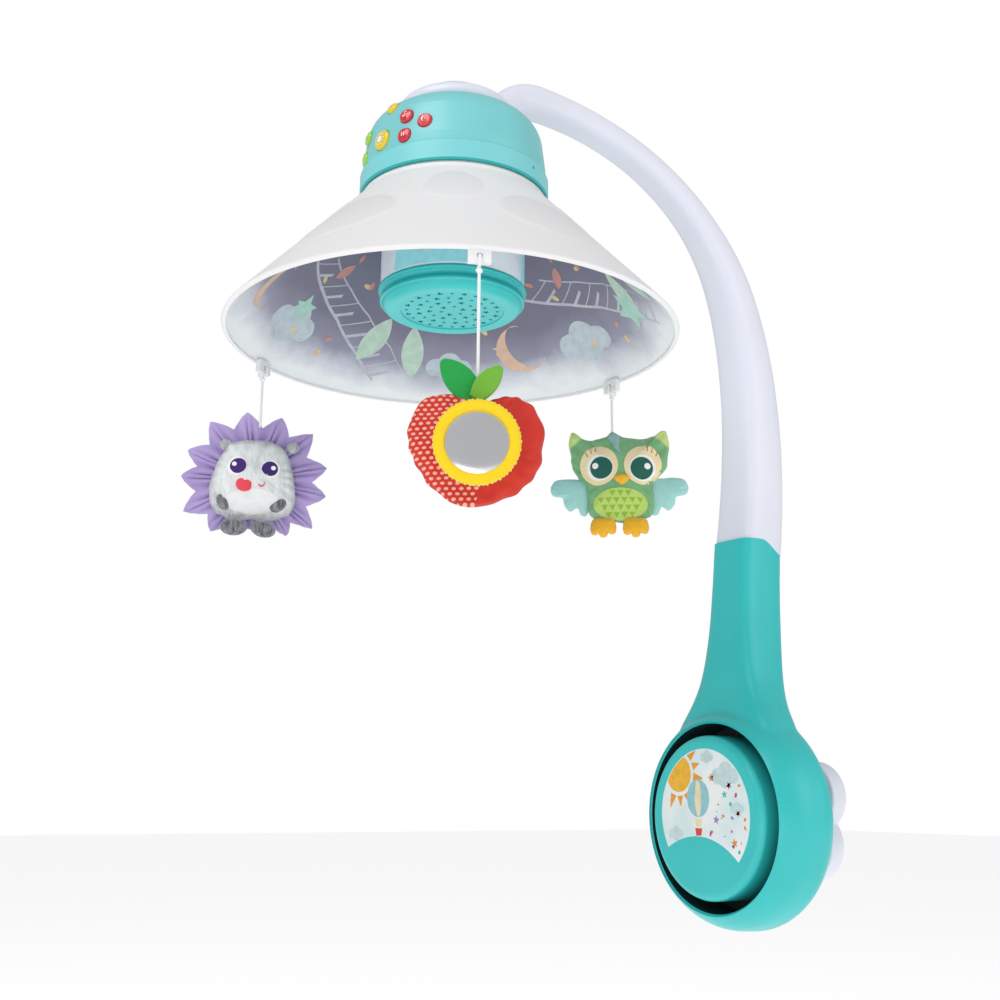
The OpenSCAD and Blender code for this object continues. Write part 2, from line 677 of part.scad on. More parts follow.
// ---------- strings ----------
// Each string runs from a loop through its tab's hole straight down into its toy
loop_half = 3.4;                   // the loop clears both faces of the tab
loop_foot = hook_z - 2;
hook_at = [for (a = hook_turns) [head_x + hook_r * cos(a), hook_r * sin(a)]];
string_foot = [219, 264, 262];     // apple, owl, hedgehog
string_r = string_d / 2;
module hang_loop() {
  for (z = [loop_foot, eye_z]) translate([0, 0, z]) bar_x(-loop_half, loop_half, string_r);
  for (x = [-loop_half, loop_half]) translate([x, 0, 0]) {
    translate([0, 0, loop_foot]) cylinder(h = eye_z - loop_foot, r = string_r);
    for (z = [loop_foot, eye_z]) translate([0, 0, z]) sphere(r = string_r);
  }
}
module string_tube(k) {
  n = round((loop_foot - string_foot[k]) / 5);
  color("white") translate([hook_at[k][0], hook_at[k][1], 0]) rotate([0, 0, hook_turns[k]]) union() {
    hang_loop();
    skin([for (j = [0:n]) let (z = string_foot[k] + (loop_foot - string_foot[k]) * j / n)
      [for (i = [0:7]) [string_r * cos(45 * i), string_r * sin(45 * i), z]]]);
  }
}
module apple_string() { string_tube(0); }
module owl_string() { string_tube(1); }
module hedgehog_string() { string_tube(2); }

// ---------- toys ----------
// Each toy faces +X in its own axes and is turned about its string
toy_turns = [58, 51, 67];
module hang(k) {
  translate([hook_at[k][0], hook_at[k][1], 0]) rotate([0, 0, toy_turns[k]]) children();
}
// Round cushion that faces +X
module pillow(y, z, r, t, n = 48) {
  translate([0, y, z]) rotate([0, 90, 0]) rotate_extrude($fn = n) polygon(
    [for (i = [0:10]) let (a = -90 + 18 * i) [r * soft_pow(cos(a), 0.7), t / 2 * sin(a)]]);
}
module string_socket(k) {
  translate([0, 0, string_foot[k] - 0.1]) cylinder(h = 40, r = string_r + 0.4);
}

apple_z = 194;
module apple_solid() {
  hull() {
    pillow(-15.5, apple_z + 10, 21.5, 30, 24);
    pillow(15.5, apple_z + 10, 21.5, 30, 24);
    pillow(-5, apple_z - 18, 15, 26, 24);
    pillow(5, apple_z - 18, 15, 26, 24);
  }
}
mirror_r = 17.7;
mirror_x = 14.2;
module apple_body() {
  color("firebrick") hang(0) difference() {
    apple_solid();
    translate([0, 0, apple_z]) bar_x(mirror_x - 1, 30, 24);
    string_socket(0);
  }
}
module apple_ring() {
  color("gold") hang(0) translate([0, 0, apple_z]) tube_x(mirror_x - 1, mirror_x + 2.4, 23.4, mirror_r);
}
module apple_mirror() {
  color("silver") hang(0) translate([0, 0, apple_z]) bar_x(mirror_x - 1, mirror_x + 0.6, mirror_r);
}
module leaf(length, width) {
  rotate([0, 90, 0]) linear_extrude(height = 3, center = true) intersection() {
    translate([-length / 2, width * 0.9, 0]) circle(r = length * 0.62);
    translate([-length / 2, -width * 0.9, 0]) circle(r = length * 0.62);
  }
}
module apple_leaves() {
  color(green) hang(0) difference() {
    union() {
      translate([-2.2, -2.2, 226.5]) rotate([50, 0, 0]) leaf(24, 9);
      translate([2.2, 2.4, 227]) rotate([-52, 0, 0]) leaf(20, 8);
    }
    apple_solid();
    string_socket(0);
  }
}

owl_z = 224;
module owl_solid() {
  hull() {
    pillow(-20, owl_z + 19, 15, 24, 24);
    pillow(20, owl_z + 19, 15, 24, 24);
    pillow(-20, owl_z + 32, 9, 12, 16);
    pillow(20, owl_z + 32, 9, 12, 16);
    pillow(0, owl_z - 2, 24, 30, 24);
  }
}
module owl_body() { color("olivedrab") hang(1) difference() { owl_solid(); string_socket(1); } }
module owl_wings() {
  color("aquamarine") hang(1) difference() {
    for (s = [-1, 1]) hull() {
      pillow(s * 26, owl_z - 2, 9, 7, 16);
      pillow(s * 42, owl_z + 3, 8, 6, 16);
      pillow(s * 36, owl_z - 7, 7, 6, 16);
    }
    owl_solid();
  }
}
module owl_feet() {
  color("orange") hang(1) difference() {
    for (s = [-1, 1]) translate([4, 0, 0]) pillow(s * 11, owl_z - 25, 8.5, 8, 24);
    owl_solid();
  }
}

hog_z = 224;
mane_z = 229;
module hedgehog_solid() {
  hull() {
    pillow(0, hog_z + 4, 25, 34, 28);
    pillow(-8, hog_z - 7, 22, 34, 28);
    pillow(8, hog_z - 7, 22, 34, 28);
  }
}
module hedgehog_mane() {
  petals = 13;
  color("mediumpurple") hang(2) difference() {
    translate([-8, 0, mane_z]) rotate([0, 90, 0]) linear_extrude(height = 8) scale([0.9, 1])
      polygon([for (i = [0:2 * petals - 1]) let (a = 180 * i / petals, r = i % 2 == 0 ? 50 : 40)
        [r * cos(a), r * sin(a)]]);
    hedgehog_solid();
    string_socket(2);
  }
}
module hedgehog_body() { color("gray") hang(2) difference() { hedgehog_solid(); string_socket(2); } }
module hedgehog_paws() {
  color("dimgray") hang(2) difference() {
    union() {
      for (s = [-1, 1]) translate([8, 0, 0]) pillow(s * 9.5, hog_z - 33, 8.5, 14, 24);
      for (s = [-1, 1]) translate([15, 0, 0]) pillow(s * 18, hog_z - 15, 5, 8, 20);
    }
    hedgehog_solid();
    translate([-8.5, -60, mane_z - 60]) cube([9, 120, 120]);
  }
}

// ---------- buttons ----------
module button_yellow_large() { color("gold") button(0); }
module button_yellow_small() { color("gold") button(1); }
module button_red_1() { color("crimson") button(2); }
module button_red_2() { color("crimson") button(3); }
module button_red_3() { color("crimson") button(4); }
module button_green_1() { color("yellowgreen") button(5); }
module button_green_2() { color("yellowgreen") button(6); }

front_disc();
disc_label();
disc_screws();
rear_jaw();
rail_pad();
clamp_bolt();
pressure_plate();
pressure_pad();
clamp_knob();
knob_nut();
lower_arm();
lower_arm_cover();
cover_screws();
arm_spigot();
upper_arm();
hub_nut();
hub_lid();
head_dome();
head_base();
battery_door();
battery_cells();
battery_contacts();
chassis();
circuit_board();
key_mat();
motor();
head_screws();
projector_column();
diffuser();
led_board();
projector_ring();
speaker();
star_grille();
motor_pinion();
idler_gear();
idler_pin();
shade();
shade_gear();
hook_tabs();
hedgehog_string();
apple_string();
owl_string();
hedgehog_mane();
hedgehog_body();
hedgehog_paws();
apple_body();
apple_ring();
apple_mirror();
apple_leaves();
owl_body();
owl_wings();
owl_feet();
button_yellow_large();
button_yellow_small();
button_red_1();
button_red_2();
button_red_3();
button_green_1();
button_green_2();
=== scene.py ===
import math
import random

import bmesh
import bpy
import numpy as np
from mathutils import Matrix, Vector
from mathutils.bvhtree import BVHTree


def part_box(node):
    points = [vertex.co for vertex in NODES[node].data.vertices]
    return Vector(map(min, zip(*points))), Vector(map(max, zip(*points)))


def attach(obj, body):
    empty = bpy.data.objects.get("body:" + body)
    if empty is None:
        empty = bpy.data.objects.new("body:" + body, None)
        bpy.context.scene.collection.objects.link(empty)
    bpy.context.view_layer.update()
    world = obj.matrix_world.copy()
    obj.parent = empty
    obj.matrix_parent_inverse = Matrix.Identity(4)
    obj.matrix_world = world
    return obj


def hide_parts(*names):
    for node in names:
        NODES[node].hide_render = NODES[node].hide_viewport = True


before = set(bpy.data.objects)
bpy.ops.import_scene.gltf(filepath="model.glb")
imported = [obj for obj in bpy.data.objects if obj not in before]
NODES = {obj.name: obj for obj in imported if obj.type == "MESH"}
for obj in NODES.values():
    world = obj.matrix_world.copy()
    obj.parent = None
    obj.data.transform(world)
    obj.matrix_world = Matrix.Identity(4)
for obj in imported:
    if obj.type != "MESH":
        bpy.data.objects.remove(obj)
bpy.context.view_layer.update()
MM = 0.001
random.seed(7)

# ---------------------------------------------------------------- camera and light
# Where the photograph was taken from, in the row frame
cam_data = bpy.data.cameras.new("camera")
cam = bpy.data.objects.new("camera", cam_data)
bpy.context.scene.collection.objects.link(cam)
cam_data.sensor_width, cam_data.lens = 36.0, 46.4
right, up, ahead = (Vector((-0.8363, 0.5482, 0.0086)), Vector((0.1288, 0.1812, 0.975)),
                    Vector((-0.5329, -0.8165, 0.2222)))
turn = Matrix((right, up, -ahead)).transposed().to_4x4()
cam.matrix_world = Matrix.Translation(Vector((694.9, 696.2, 14.9)) * MM) @ turn
cam_data.clip_start, cam_data.clip_end = 0.01, 100
bpy.context.scene.camera = cam


def area_light(name, at, target, size, watts, colour=(1, 1, 1)):
    data = bpy.data.lights.new(name, "AREA")
    data.shape, data.size, data.energy, data.color = "DISK", size, watts, colour
    o = bpy.data.objects.new(name, data)
    bpy.context.scene.collection.objects.link(o)
    o.location = at
    o.rotation_euler = (Vector(target) - Vector(at)).to_track_quat("-Z", "Y").to_euler()
    return o


# ---------------------------------------------------------------- materials
class Mat:
    """A node material with short ways to add noise, bump and mixed colours."""

    def __init__(self, name, colour, rough=0.4, **sockets):
        self.mat = bpy.data.materials.new(name)
        self.mat.use_nodes = True
        self.nodes, self.links = self.mat.node_tree.nodes, self.mat.node_tree.links
        self.b = self.nodes["Principled BSDF"]
        self.b.inputs["Base Color"].default_value = (*colour, 1)
        self.b.inputs["Roughness"].default_value = rough
        for key, value in sockets.items():
            self.b.inputs[key.replace("_", " ")].default_value = value
        self.coord = self.nodes.new("ShaderNodeTexCoord").outputs["Object"]

    def node(self, kind, **inputs):
        n = self.nodes.new("ShaderNode" + kind)
        for key, value in inputs.items():
            self.put(value, n.inputs[key.replace("_", " ")])
        return n

    def put(self, value, socket):
        if isinstance(value, bpy.types.NodeSocket):
            self.links.new(value, socket)
        else:
            socket.default_value = value

    def noise(self, scale, detail=3, rough=0.5, vector=None, stretch=None):
        v = vector or self.coord
        if stretch:
            v = self.node("Mapping", Vector=v, Scale=stretch).outputs[0]
        return self.node("TexNoise", Vector=v, Scale=scale, Detail=detail, Roughness=rough).outputs["Fac"]

    def ramp(self, value, stops):
        n = self.nodes.new("ShaderNodeValToRGB")
        while len(n.color_ramp.elements) < len(stops):
            n.color_ramp.elements.new(0.5)
        for e, (at, c) in zip(n.color_ramp.elements, stops):
            e.position = at
            e.color = (*c, 1) if len(c) == 3 else c
        self.links.new(value, n.inputs[0])
        return n.outputs[0]

    def math(self, op, a, b=0.0, c=0.0):
        n = self.nodes.new("ShaderNodeMath")
        n.operation = op
        for s, v in zip(n.inputs, (a, b, c)):
            self.put(v, s)
        return n.outputs[0]

    def mix(self, fac, a, b, kind="MIX"):
        n = self.nodes.new("ShaderNodeMix")
        n.data_type, n.blend_type = "RGBA", kind
        self.put(fac, n.inputs[0])
        for value, i in ((a, 6), (b, 7)):
            self.put((*value, 1) if isinstance(value, tuple) and len(value) == 3 else value, n.inputs[i])
        return n.outputs[2]

    def attribute(self, name):
        n = self.node("Attribute")
        n.attribute_name = name
        return n.outputs["Fac"]

    def axes(self):
        n = self.node("SeparateXYZ", Vector=self.coord)
        return n.outputs[0], n.outputs[1], n.outputs[2]

    def colour(self, value):
        self.links.new(value, self.b.inputs["Base Color"])

    def rough(self, value, low, high):
        n = self.node("MapRange", Value=value)
        n.inputs["To Min"].default_value, n.inputs["To Max"].default_value = low, high
        self.links.new(n.outputs[0], self.b.inputs["Roughness"])

    def bump(self, height, distance, strength=1.0):
        n = self.node("Bump", Height=height, Distance=distance, Strength=strength)
        if self.b.inputs["Normal"].is_linked:
            self.links.new(self.b.inputs["Normal"].links[0].from_socket, n.inputs["Normal"])
        self.links.new(n.outputs[0], self.b.inputs["Normal"])


def black_white(low, high):
    """Ramp stops that turn a value into a mask."""
    return [(low, (0, 0, 0)), (high, (1, 1, 1))]


def moulded(name, colour, rough=0.32, shade=0.88, grain=0.00003, **sockets):
    """Injection moulded plastic: faint flow in the colour, fine texture, uneven gloss."""
    m = Mat(name, colour, rough, **sockets)
    dark = tuple(c * shade for c in colour)
    m.colour(m.mix(m.ramp(m.noise(14, 2), black_white(0.3, 0.75)), dark, colour))
    m.rough(m.noise(60, 4), rough - 0.06, rough + 0.09)
    m.bump(m.noise(2200, 2), grain, 0.5)
    return m.mat


def fabric(name, colour, dark=0.72, weave=1500, pile=0.00012, fuzz=0.35, tint=None):
    """Short-pile cloth: two-scale fibre bump, soft sheen and uneven dye."""
    m = Mat(name, colour, 0.9, Sheen_Weight=fuzz, Sheen_Roughness=0.45)
    low = tuple(c * dark for c in colour)
    base = m.mix(m.noise(90, 5, 0.65), low, tint or colour)
    fine = m.noise(weave, 3, 0.7)
    m.colour(m.mix(m.ramp(fine, black_white(0.35, 0.65)), base, colour))
    m.bump(m.noise(weave * 0.25, 4, 0.6), pile * 2, 0.5)
    m.bump(fine, pile, 0.8)
    return m.mat


def fur(name, colour, light, streak=(1, 1, 0.16)):
    """Printed fur on plush: strokes that run along the height."""
    m = Mat(name, colour, 0.92, Sheen_Weight=0.4, Sheen_Roughness=0.5)
    strokes = m.noise(420, 5, 0.72, stretch=streak)
    m.colour(m.mix(m.ramp(strokes, black_white(0.38, 0.62)), colour, light))
    m.bump(strokes, 0.0003, 0.7)
    m.bump(m.noise(1900, 2), 0.0001, 0.6)
    return m.mat


TEAL = moulded("teal", (0.032, 0.580, 0.575), 0.30)
PALE = moulded("pale_teal", (0.205, 0.640, 0.665), 0.34)
WHITE = moulded("cool_white", (0.79, 0.81, 0.91), 0.30, 0.95)
RUBBER = moulded("rubber_pad", (0.03, 0.03, 0.033), 0.78, 0.7, 0.00008)
STEEL = moulded("zinc_steel", (0.60, 0.61, 0.63), 0.30, 0.85, Metallic=1.0)
RED = moulded("button_red", (0.70, 0.010, 0.022), 0.16, Coat_Weight=0.6, Coat_Roughness=0.08)
YELLOW = moulded("button_yellow", (0.90, 0.66, 0.006), 0.18, Coat_Weight=0.6, Coat_Roughness=0.08)
LIME = moulded("button_green", (0.38, 0.70, 0.06), 0.18, Coat_Weight=0.6, Coat_Roughness=0.08)
INK_WHITE = moulded("print_white", (0.90, 0.91, 0.92), 0.5)
BOARD = moulded("board_green", (0.015, 0.13, 0.05), 0.4)
BLACK = moulded("speaker_black", (0.01, 0.01, 0.011), 0.7)
# Near-black for the deep slot round the front disc: painted shade, not a separate black part
POCKET_SHADE = moulded("pocket_painted_shade", (0.004, 0.020, 0.022), 0.6)
CELL = moulded("battery_wrap", (0.62, 0.40, 0.05), 0.3)
NYLON = moulded("gear_nylon", (0.78, 0.76, 0.68), 0.5)


# ---------------------------------------------------------------- mesh helpers
def new_object(name, verts, faces, material, smooth=True):
    mesh = bpy.data.meshes.new(name)
    mesh.from_pydata([tuple(v) for v in verts], [], faces)
    mesh.update()
    o = bpy.data.objects.new(name, mesh)
    bpy.context.scene.collection.objects.link(o)
    if material:
        mesh.materials.append(material)
    if smooth:
        mesh.polygons.foreach_set("use_smooth", [True] * len(mesh.polygons))
    return o


def sharpen(o, degrees=35):
    """Smooth shading that keeps the edges over an angle crisp."""
    o.data.polygons.foreach_set("use_smooth", [True] * len(o.data.polygons))
    o.data.set_sharp_from_angle(angle=math.radians(degrees))


def apply_modifiers(o):
    dg = bpy.context.evaluated_depsgraph_get()
    made = bpy.data.meshes.new_from_object(o.evaluated_get(dg))
    o.modifiers.clear()
    old, o.data = o.data, made
    bpy.data.meshes.remove(old)
    return o


def with_modifier(o, kind, **values):
    m = o.modifiers.new(kind.lower(), kind)
    for key, value in values.items():
        setattr(m, key, value)
    return m


def remesh(o, voxel, smooth=6, factor=0.5):
    with_modifier(o, "REMESH", mode="VOXEL", voxel_size=voxel, use_smooth_shade=True)
    with_modifier(o, "SMOOTH", factor=factor, iterations=smooth)
    return apply_modifiers(o)


def cut(o, cutter, op="DIFFERENCE"):
    with_modifier(o, "BOOLEAN", operation=op, object=cutter, solver="EXACT")
    apply_modifiers(o)
    bpy.data.objects.remove(cutter)
    return o


def outward(o, merge=None):
    """Turns every face outwards, after joining points that are closer than merge."""
    bm = bmesh.new()
    bm.from_mesh(o.data)
    if merge:
        bmesh.ops.remove_doubles(bm, verts=bm.verts, dist=merge)
    bmesh.ops.recalc_face_normals(bm, faces=bm.faces)
    bm.to_mesh(o.data)
    bm.free()
    return o


def lathe(name, profile, material, axis="Z", at=(0, 0, 0), n=160, closed=True):
    """Solid of revolution. The profile is [radius, height] in millimetres."""
    verts, faces = [], []
    for r, h in profile:
        for i in range(n):
            a = 2 * math.pi * i / n
            across, up = r * math.cos(a), r * math.sin(a)
            p = (across, up, h) if axis == "Z" else (h, across, up)
            verts.append([(p[k] + at[k]) * MM for k in range(3)])
    rows = len(profile)
    for j in range(rows if closed else rows - 1):
        k = (j + 1) % rows
        for i in range(n):
            q = (i + 1) % n
            faces.append((j * n + i, j * n + q, k * n + q, k * n + i))
    return outward(new_object(name, verts, faces, material), 1e-7)


def loft(name, rings, material):
    """Closed skin over rings of points in millimetres."""
    n, last = len(rings[0]), (len(rings) - 1) * len(rings[0])
    verts = [[c * MM for c in p] for r in rings for p in r]
    faces = [(j * n + i, j * n + (i + 1) % n, (j + 1) * n + (i + 1) % n, (j + 1) * n + i)
             for j in range(len(rings) - 1) for i in range(n)]
    faces += [tuple(reversed(range(n))), tuple(last + i for i in range(n))]
    return outward(new_object(name, verts, faces, material))


def raised(name, shapes, place, low, high, material, crease):
    """Thin solid pieces over flat shapes. place(u, v, lift) gives a point in millimetres."""
    verts, faces = [], []
    for pts, polys in shapes:
        n, base = len(pts), len(verts)
        verts += [place(u, v, high) for u, v in pts] + [place(u, v, low) for u, v in pts]
        faces += [tuple(base + i for i in f) for f in polys]
        faces += [tuple(base + n + i for i in reversed(f)) for f in polys]
        sides = {(a, b): None for f in polys for a, b in zip(f, f[1:] + f[:1])}
        faces += [(base + b, base + a, base + n + a, base + n + b) for a, b in sides if (b, a) not in sides]
    o = outward(new_object(name, [[c * MM for c in v] for v in verts], faces, material))
    sharpen(o, crease)
    return o


def hermite(stations, z):
    """Smooth value between neighbouring stations, as in the CAD source."""
    n = len(stations)
    i = max(0, min(n - 2, sum(1 for s in stations if s[0] <= z) - 1))
    p0, p1, p2, p3 = stations[max(i - 1, 0)], stations[i], stations[i + 1], stations[min(i + 2, n - 1)]
    d = p2[0] - p1[0]
    t = (z - p1[0]) / d
    m1, m2 = (p2[1] - p0[1]) / (p2[0] - p0[0]) * d, (p3[1] - p1[1]) / (p3[0] - p1[0]) * d
    return ((2 * t**3 - 3 * t**2 + 1) * p1[1] + (t**3 - 2 * t**2 + t) * m1
            + (3 * t**2 - 2 * t**3) * p2[1] + (t**3 - t**2) * m2)


def squarish(a, b, e, n):
    out = []
    for i in range(n):
        w = 2 * math.pi * (i + 0.5) / n
        c, s = math.cos(w), math.sin(w)
        out.append((math.copysign(abs(c) ** (2 / e), c) * a, math.copysign(abs(s) ** (2 / e), s) * b))
    return out


def arc(cx, cy, r, a0, a1, n=8):
    return [(cx + r * math.cos(math.radians(a0 + (a1 - a0) * i / n)),
             cy + r * math.sin(math.radians(a0 + (a1 - a0) * i / n))) for i in range(n + 1)]


def finish_piece(o, body, replaced=(), slot=None):
    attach(o, body)
    if replaced:
        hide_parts(*replaced)
    return o


# ---------------------------------------------------------------- cords
# Each toy: direction it faces, height where its string ends inside it
HEAD_X = 280.0
TOYS = {"apple": (58, 219), "owl": (51, 264), "hedgehog": (67, 262)}
EYE_Z, LOOP_FOOT, LOOP_HALF, LOOP_BEND, STRING_R = 305.0, 299.0, 3.4, 1.5, 0.9
KNOT_FOOT, KNOT_HIGH, KNOT_SWELL = 295.2, 3.0, 0.95


def hook_point(toy):
    low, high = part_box(toy + "_string")
    return (low[0] + high[0]) / 2 / MM, (low[1] + high[1]) / 2 / MM


def closed_tube(name, path, radius, material, sides=12):
    """Round tube along a closed flat path of (across, up) points in the plane of the first axis and Z."""
    n, verts, faces = len(path), [], []
    for i in range(n):
        (x0, z0), (x1, z1) = path[i - 1], path[(i + 1) % n]
        d = Vector((x1 - x0, 0, z1 - z0)).normalized()
        out = Vector((d.z, 0, -d.x))
        for k in range(sides):
            a = 2 * math.pi * k / sides
            round_it = out * math.cos(a) + Vector((0, 1, 0)) * math.sin(a)
            verts.append((Vector((path[i][0], 0, path[i][1])) + radius * round_it) * MM)
    for i in range(n):
        for k in range(sides):
            a, b, c = i * sides, ((i + 1) % n) * sides, (k + 1) % sides
            faces.append((a + k, b + k, b + c, a + c))
    return new_object(name, verts, faces, material)


def loop_path():
    """Rounded oblong that passes through the tab's hole and under the tab."""
    side, top, foot = LOOP_HALF - LOOP_BEND, EYE_Z - LOOP_BEND, LOOP_FOOT + LOOP_BEND
    corners = ((side, top, 0), (-side, top, 90), (-side, foot, 180), (side, foot, 270))
    return [p for x, z, a in corners for p in arc(x, z, LOOP_BEND, a, a + 90, 6)]


def string_knot(name):
    """Barrel knot with three twisted lobes."""
    steps = 12
    side = [(STRING_R + KNOT_SWELL * math.sin(math.pi * i / steps) ** 0.7, KNOT_FOOT + KNOT_HIGH * i / steps)
            for i in range(steps + 1)]
    profile = [(0.0, KNOT_FOOT)] + side + [(0.0, KNOT_FOOT + KNOT_HIGH)]
    knot = lathe(name, profile, CORD, n=48, closed=False)
    for v in knot.data.vertices:
        a, r = math.atan2(v.co.y, v.co.x), math.hypot(v.co.x, v.co.y)
        grow = 1 + 0.13 * math.sin(3 * a + v.co.z / MM * 2.2) * min(1, r / MM / 1.5)
        v.co.x, v.co.y = v.co.x * grow, v.co.y * grow
    return knot


def string_line(toy, x, y, foot, count=20):
    """The string itself, from the foot of its loop straight down into the toy."""
    curve = bpy.data.curves.new(toy + "_cord_line", "CURVE")
    curve.dimensions, curve.use_fill_caps = "3D", True
    curve.bevel_depth, curve.bevel_resolution = STRING_R * MM, 4
    line = curve.splines.new("POLY")
    line.points.add(count - 1)
    for i in range(count):
        line.points[i].co = (x * MM, y * MM, (LOOP_FOOT + (foot - LOOP_FOOT) * i / (count - 1)) * MM, 1)
    curve.materials.append(CORD)
    o = bpy.data.objects.new(toy + "_line", curve)
    bpy.context.scene.collection.objects.link(o)
    return o


CORD = fabric("cord", (0.88, 0.88, 0.88), 0.85, 5200, 0.00006, 0.2)
for toy, (_, foot) in TOYS.items():
    x, y = hook_point(toy)
    outwards = Matrix.Rotation(math.atan2(y, x - HEAD_X), 4, "Z")
    loop = closed_tube(toy + "_loop", loop_path(), STRING_R, CORD)
    knot = string_knot(toy + "_knot")
    for piece in (loop, knot):
        piece.matrix_world = Matrix.Translation(Vector((x, y, 0)) * MM) @ outwards
        finish_piece(piece, toy + "_cord", (), "cord_white")
    o = string_line(toy, x, y, foot)
    finish_piece(o, toy + "_cord", [toy + "_string"], "cord_white")

# ---------------------------------------------------------------- lower arm and round housing
NECK_BACK = [[0, 17], [60, 16], [97, 8], [128, 3], [160, 0.5], [205, -2.5]]
NECK_FRONT = [[0, 56], [60, 55], [97, 48.5], [128, 45], [160, 42], [205, 37.5]]
NECK_WIDTH = [[0, 112], [40, 112], [60, 98], [80, 72], [98, 57], [128, 45.5], [160, 41], [205, 40]]
SEAM_Z, SEAM_DROP = 200.0, 10.0
PADDLE_R, POCKET_R, LIP_X, WEB_FRONT, COVER_X = 77.5, 65.0, 63.0, 30.0, 14.0


def seam_at(x):
    t = min(1, max(0, (x - 2) / 20))
    return SEAM_Z - SEAM_DROP * (1 - t * t * (3 - 2 * t))


def neck_ring(z, n=72):
    xb, xf, w = hermite(NECK_BACK, z), hermite(NECK_FRONT, z), hermite(NECK_WIDTH, z) / 2
    return [((xb + xf) / 2 + a, b, z) for a, b in squarish((xf - xb) / 2, w, 4.5, n)]


def seam_cutter(name, above):
    """Block that keeps what lies under (or over) the seam between the two arm parts."""
    xs = [-40, -20, 0, 2] + [2 + 20 * i / 24 for i in range(1, 25)] + [40, 80]
    far = 420 if above else 60
    side = [(x, seam_at(x)) for x in xs] + [(80, far), (-40, far)]
    return loft(name, [[(x, y, z) for x, z in side] for y in (-60, 60)], None)


def barrel_profile(n=10):
    return ([(0, COVER_X), (PADDLE_R - 17, COVER_X)] + arc(PADDLE_R - 15, COVER_X + 15, 15, -82, 0, n)
            + [(PADDLE_R - 0.6, 41), (PADDLE_R - 1.6, 47), (PADDLE_R - 3.5, 52), (PADDLE_R - 5.6, 56),
               (POCKET_R + 4, 60), (POCKET_R + 1.5, LIP_X), (0, LIP_X)])


def slab(r, low, high):
    """Profile of a plain disc."""
    return [(0, low), (r, low), (r, high), (0, high)]


housing = lathe("housing", barrel_profile(), None, axis="X", closed=False)
neck = loft("neck", [neck_ring(20 + 4 * i) for i in range(48)], None)
cut(housing, neck, "UNION")
remesh(housing, 0.0013, 14, 0.5)
pocket_profile = [(0, WEB_FRONT), (POCKET_R, WEB_FRONT), (POCKET_R, LIP_X - 2.2), (POCKET_R + 1.3, LIP_X - 0.8),
                  (POCKET_R + 1.9, LIP_X + 4), (0, LIP_X + 4)]
cut(housing, lathe("pocket", pocket_profile, None, axis="X", closed=False))
cut(housing, lathe("hub_hole", slab(20.05, 5, 35), None, axis="X", closed=False))
cut(housing, seam_cutter("seam_low", True))
housing.data.materials.append(TEAL)
housing.data.materials.append(POCKET_SHADE)
for p in housing.data.polygons:  # the pocket's wall and floor under the lip are painted near-black: painted shade in the deep slot
    x, r = p.center.x / MM, math.hypot(p.center.y, p.center.z) / MM
    if WEB_FRONT - 0.5 < x < LIP_X - 3.2 and r < POCKET_R + 0.3:
        p.material_index = 1
sharpen(housing, 40)
housing.name = "arm_housing"
finish_piece(housing, "arm", ["lower_arm"], "teal_plastic")

# ---------------------------------------------------------------- upper arm with the hub cap
ARM = [[(18, 190), (8, 250), (4, 330), (28, 395)], [(28, 395), (50, 454), (112, 500), (206, 502)],
       [(206, 502), (226, 502), (240, 497), (250, 476)]]
ARM_THICK = [[0, 20], [0.6, 18.6], [1, 15.6], [1.35, 12.2], [1.8, 10.4], [2.2, 11], [3, 10]]
ARM_WIDE = [[0, 20], [0.6, 19], [1, 16.2], [1.35, 13], [1.8, 11.5], [2.2, 13], [3, 15]]
HUB_Z, HUB_TOP = 465.5, 486.5


def arm_point(t):
    k = min(2, int(t))
    u, p = t - k, ARM[k]
    weights = ((1 - u)**3, 3 * u * (1 - u)**2, 3 * u * u * (1 - u), u**3)
    return np.array([sum(c * q[i] for c, q in zip(weights, p)) for i in (0, 1)])


def arm_ring(t, n=72):
    step = 0.01
    c, d = arm_point(t), arm_point(min(t + step, 3)) - arm_point(max(t - step, 0))
    d /= np.linalg.norm(d)
    e = 4.5 - 1.5 * min(1, t / 0.6)
    return [(c[0] + a * d[1], b, c[1] - a * d[0])
            for a, b in squarish(hermite(ARM_THICK, t), hermite(ARM_WIDE, t), e, n)]


arm = loft("upper", [arm_ring(3 * i / 150) for i in range(151)], None)
hub_profile = [(0, HUB_Z), (36, HUB_Z)] + arc(36, HUB_Z + 4, 4, -90, 0) + [
    (39.7, HUB_Z + 6), (39.1, HUB_Z + 8), (37.6, HUB_Z + 9.8), (35, HUB_Z + 11.4), (32, HUB_TOP - 8),
    (28, HUB_TOP - 5.3), (24, HUB_TOP - 2.7), (21.6, HUB_TOP - 0.9), (20.4, HUB_TOP - 0.1), (0, HUB_TOP)]
hub = lathe("hub", hub_profile, None, at=(HEAD_X, 0, 0), closed=False)
cut(arm, hub, "UNION")
remesh(arm, 0.0012, 10, 0.5)
cut(arm, lathe("lid_seat", slab(20, HUB_TOP - 2.1, HUB_TOP + 3), None, at=(HEAD_X, 0, 0), closed=False))
cut(arm, lathe("under_hub", slab(60, HUB_Z - 6, HUB_Z), None, at=(HEAD_X, 0, 0), closed=False))
cut(arm, seam_cutter("seam_high", False))
arm.data.materials.append(WHITE)
sharpen(arm, 40)
arm.name = "arm_upper_shell"
finish_piece(arm, "arm", ["upper_arm"], "white_plastic")

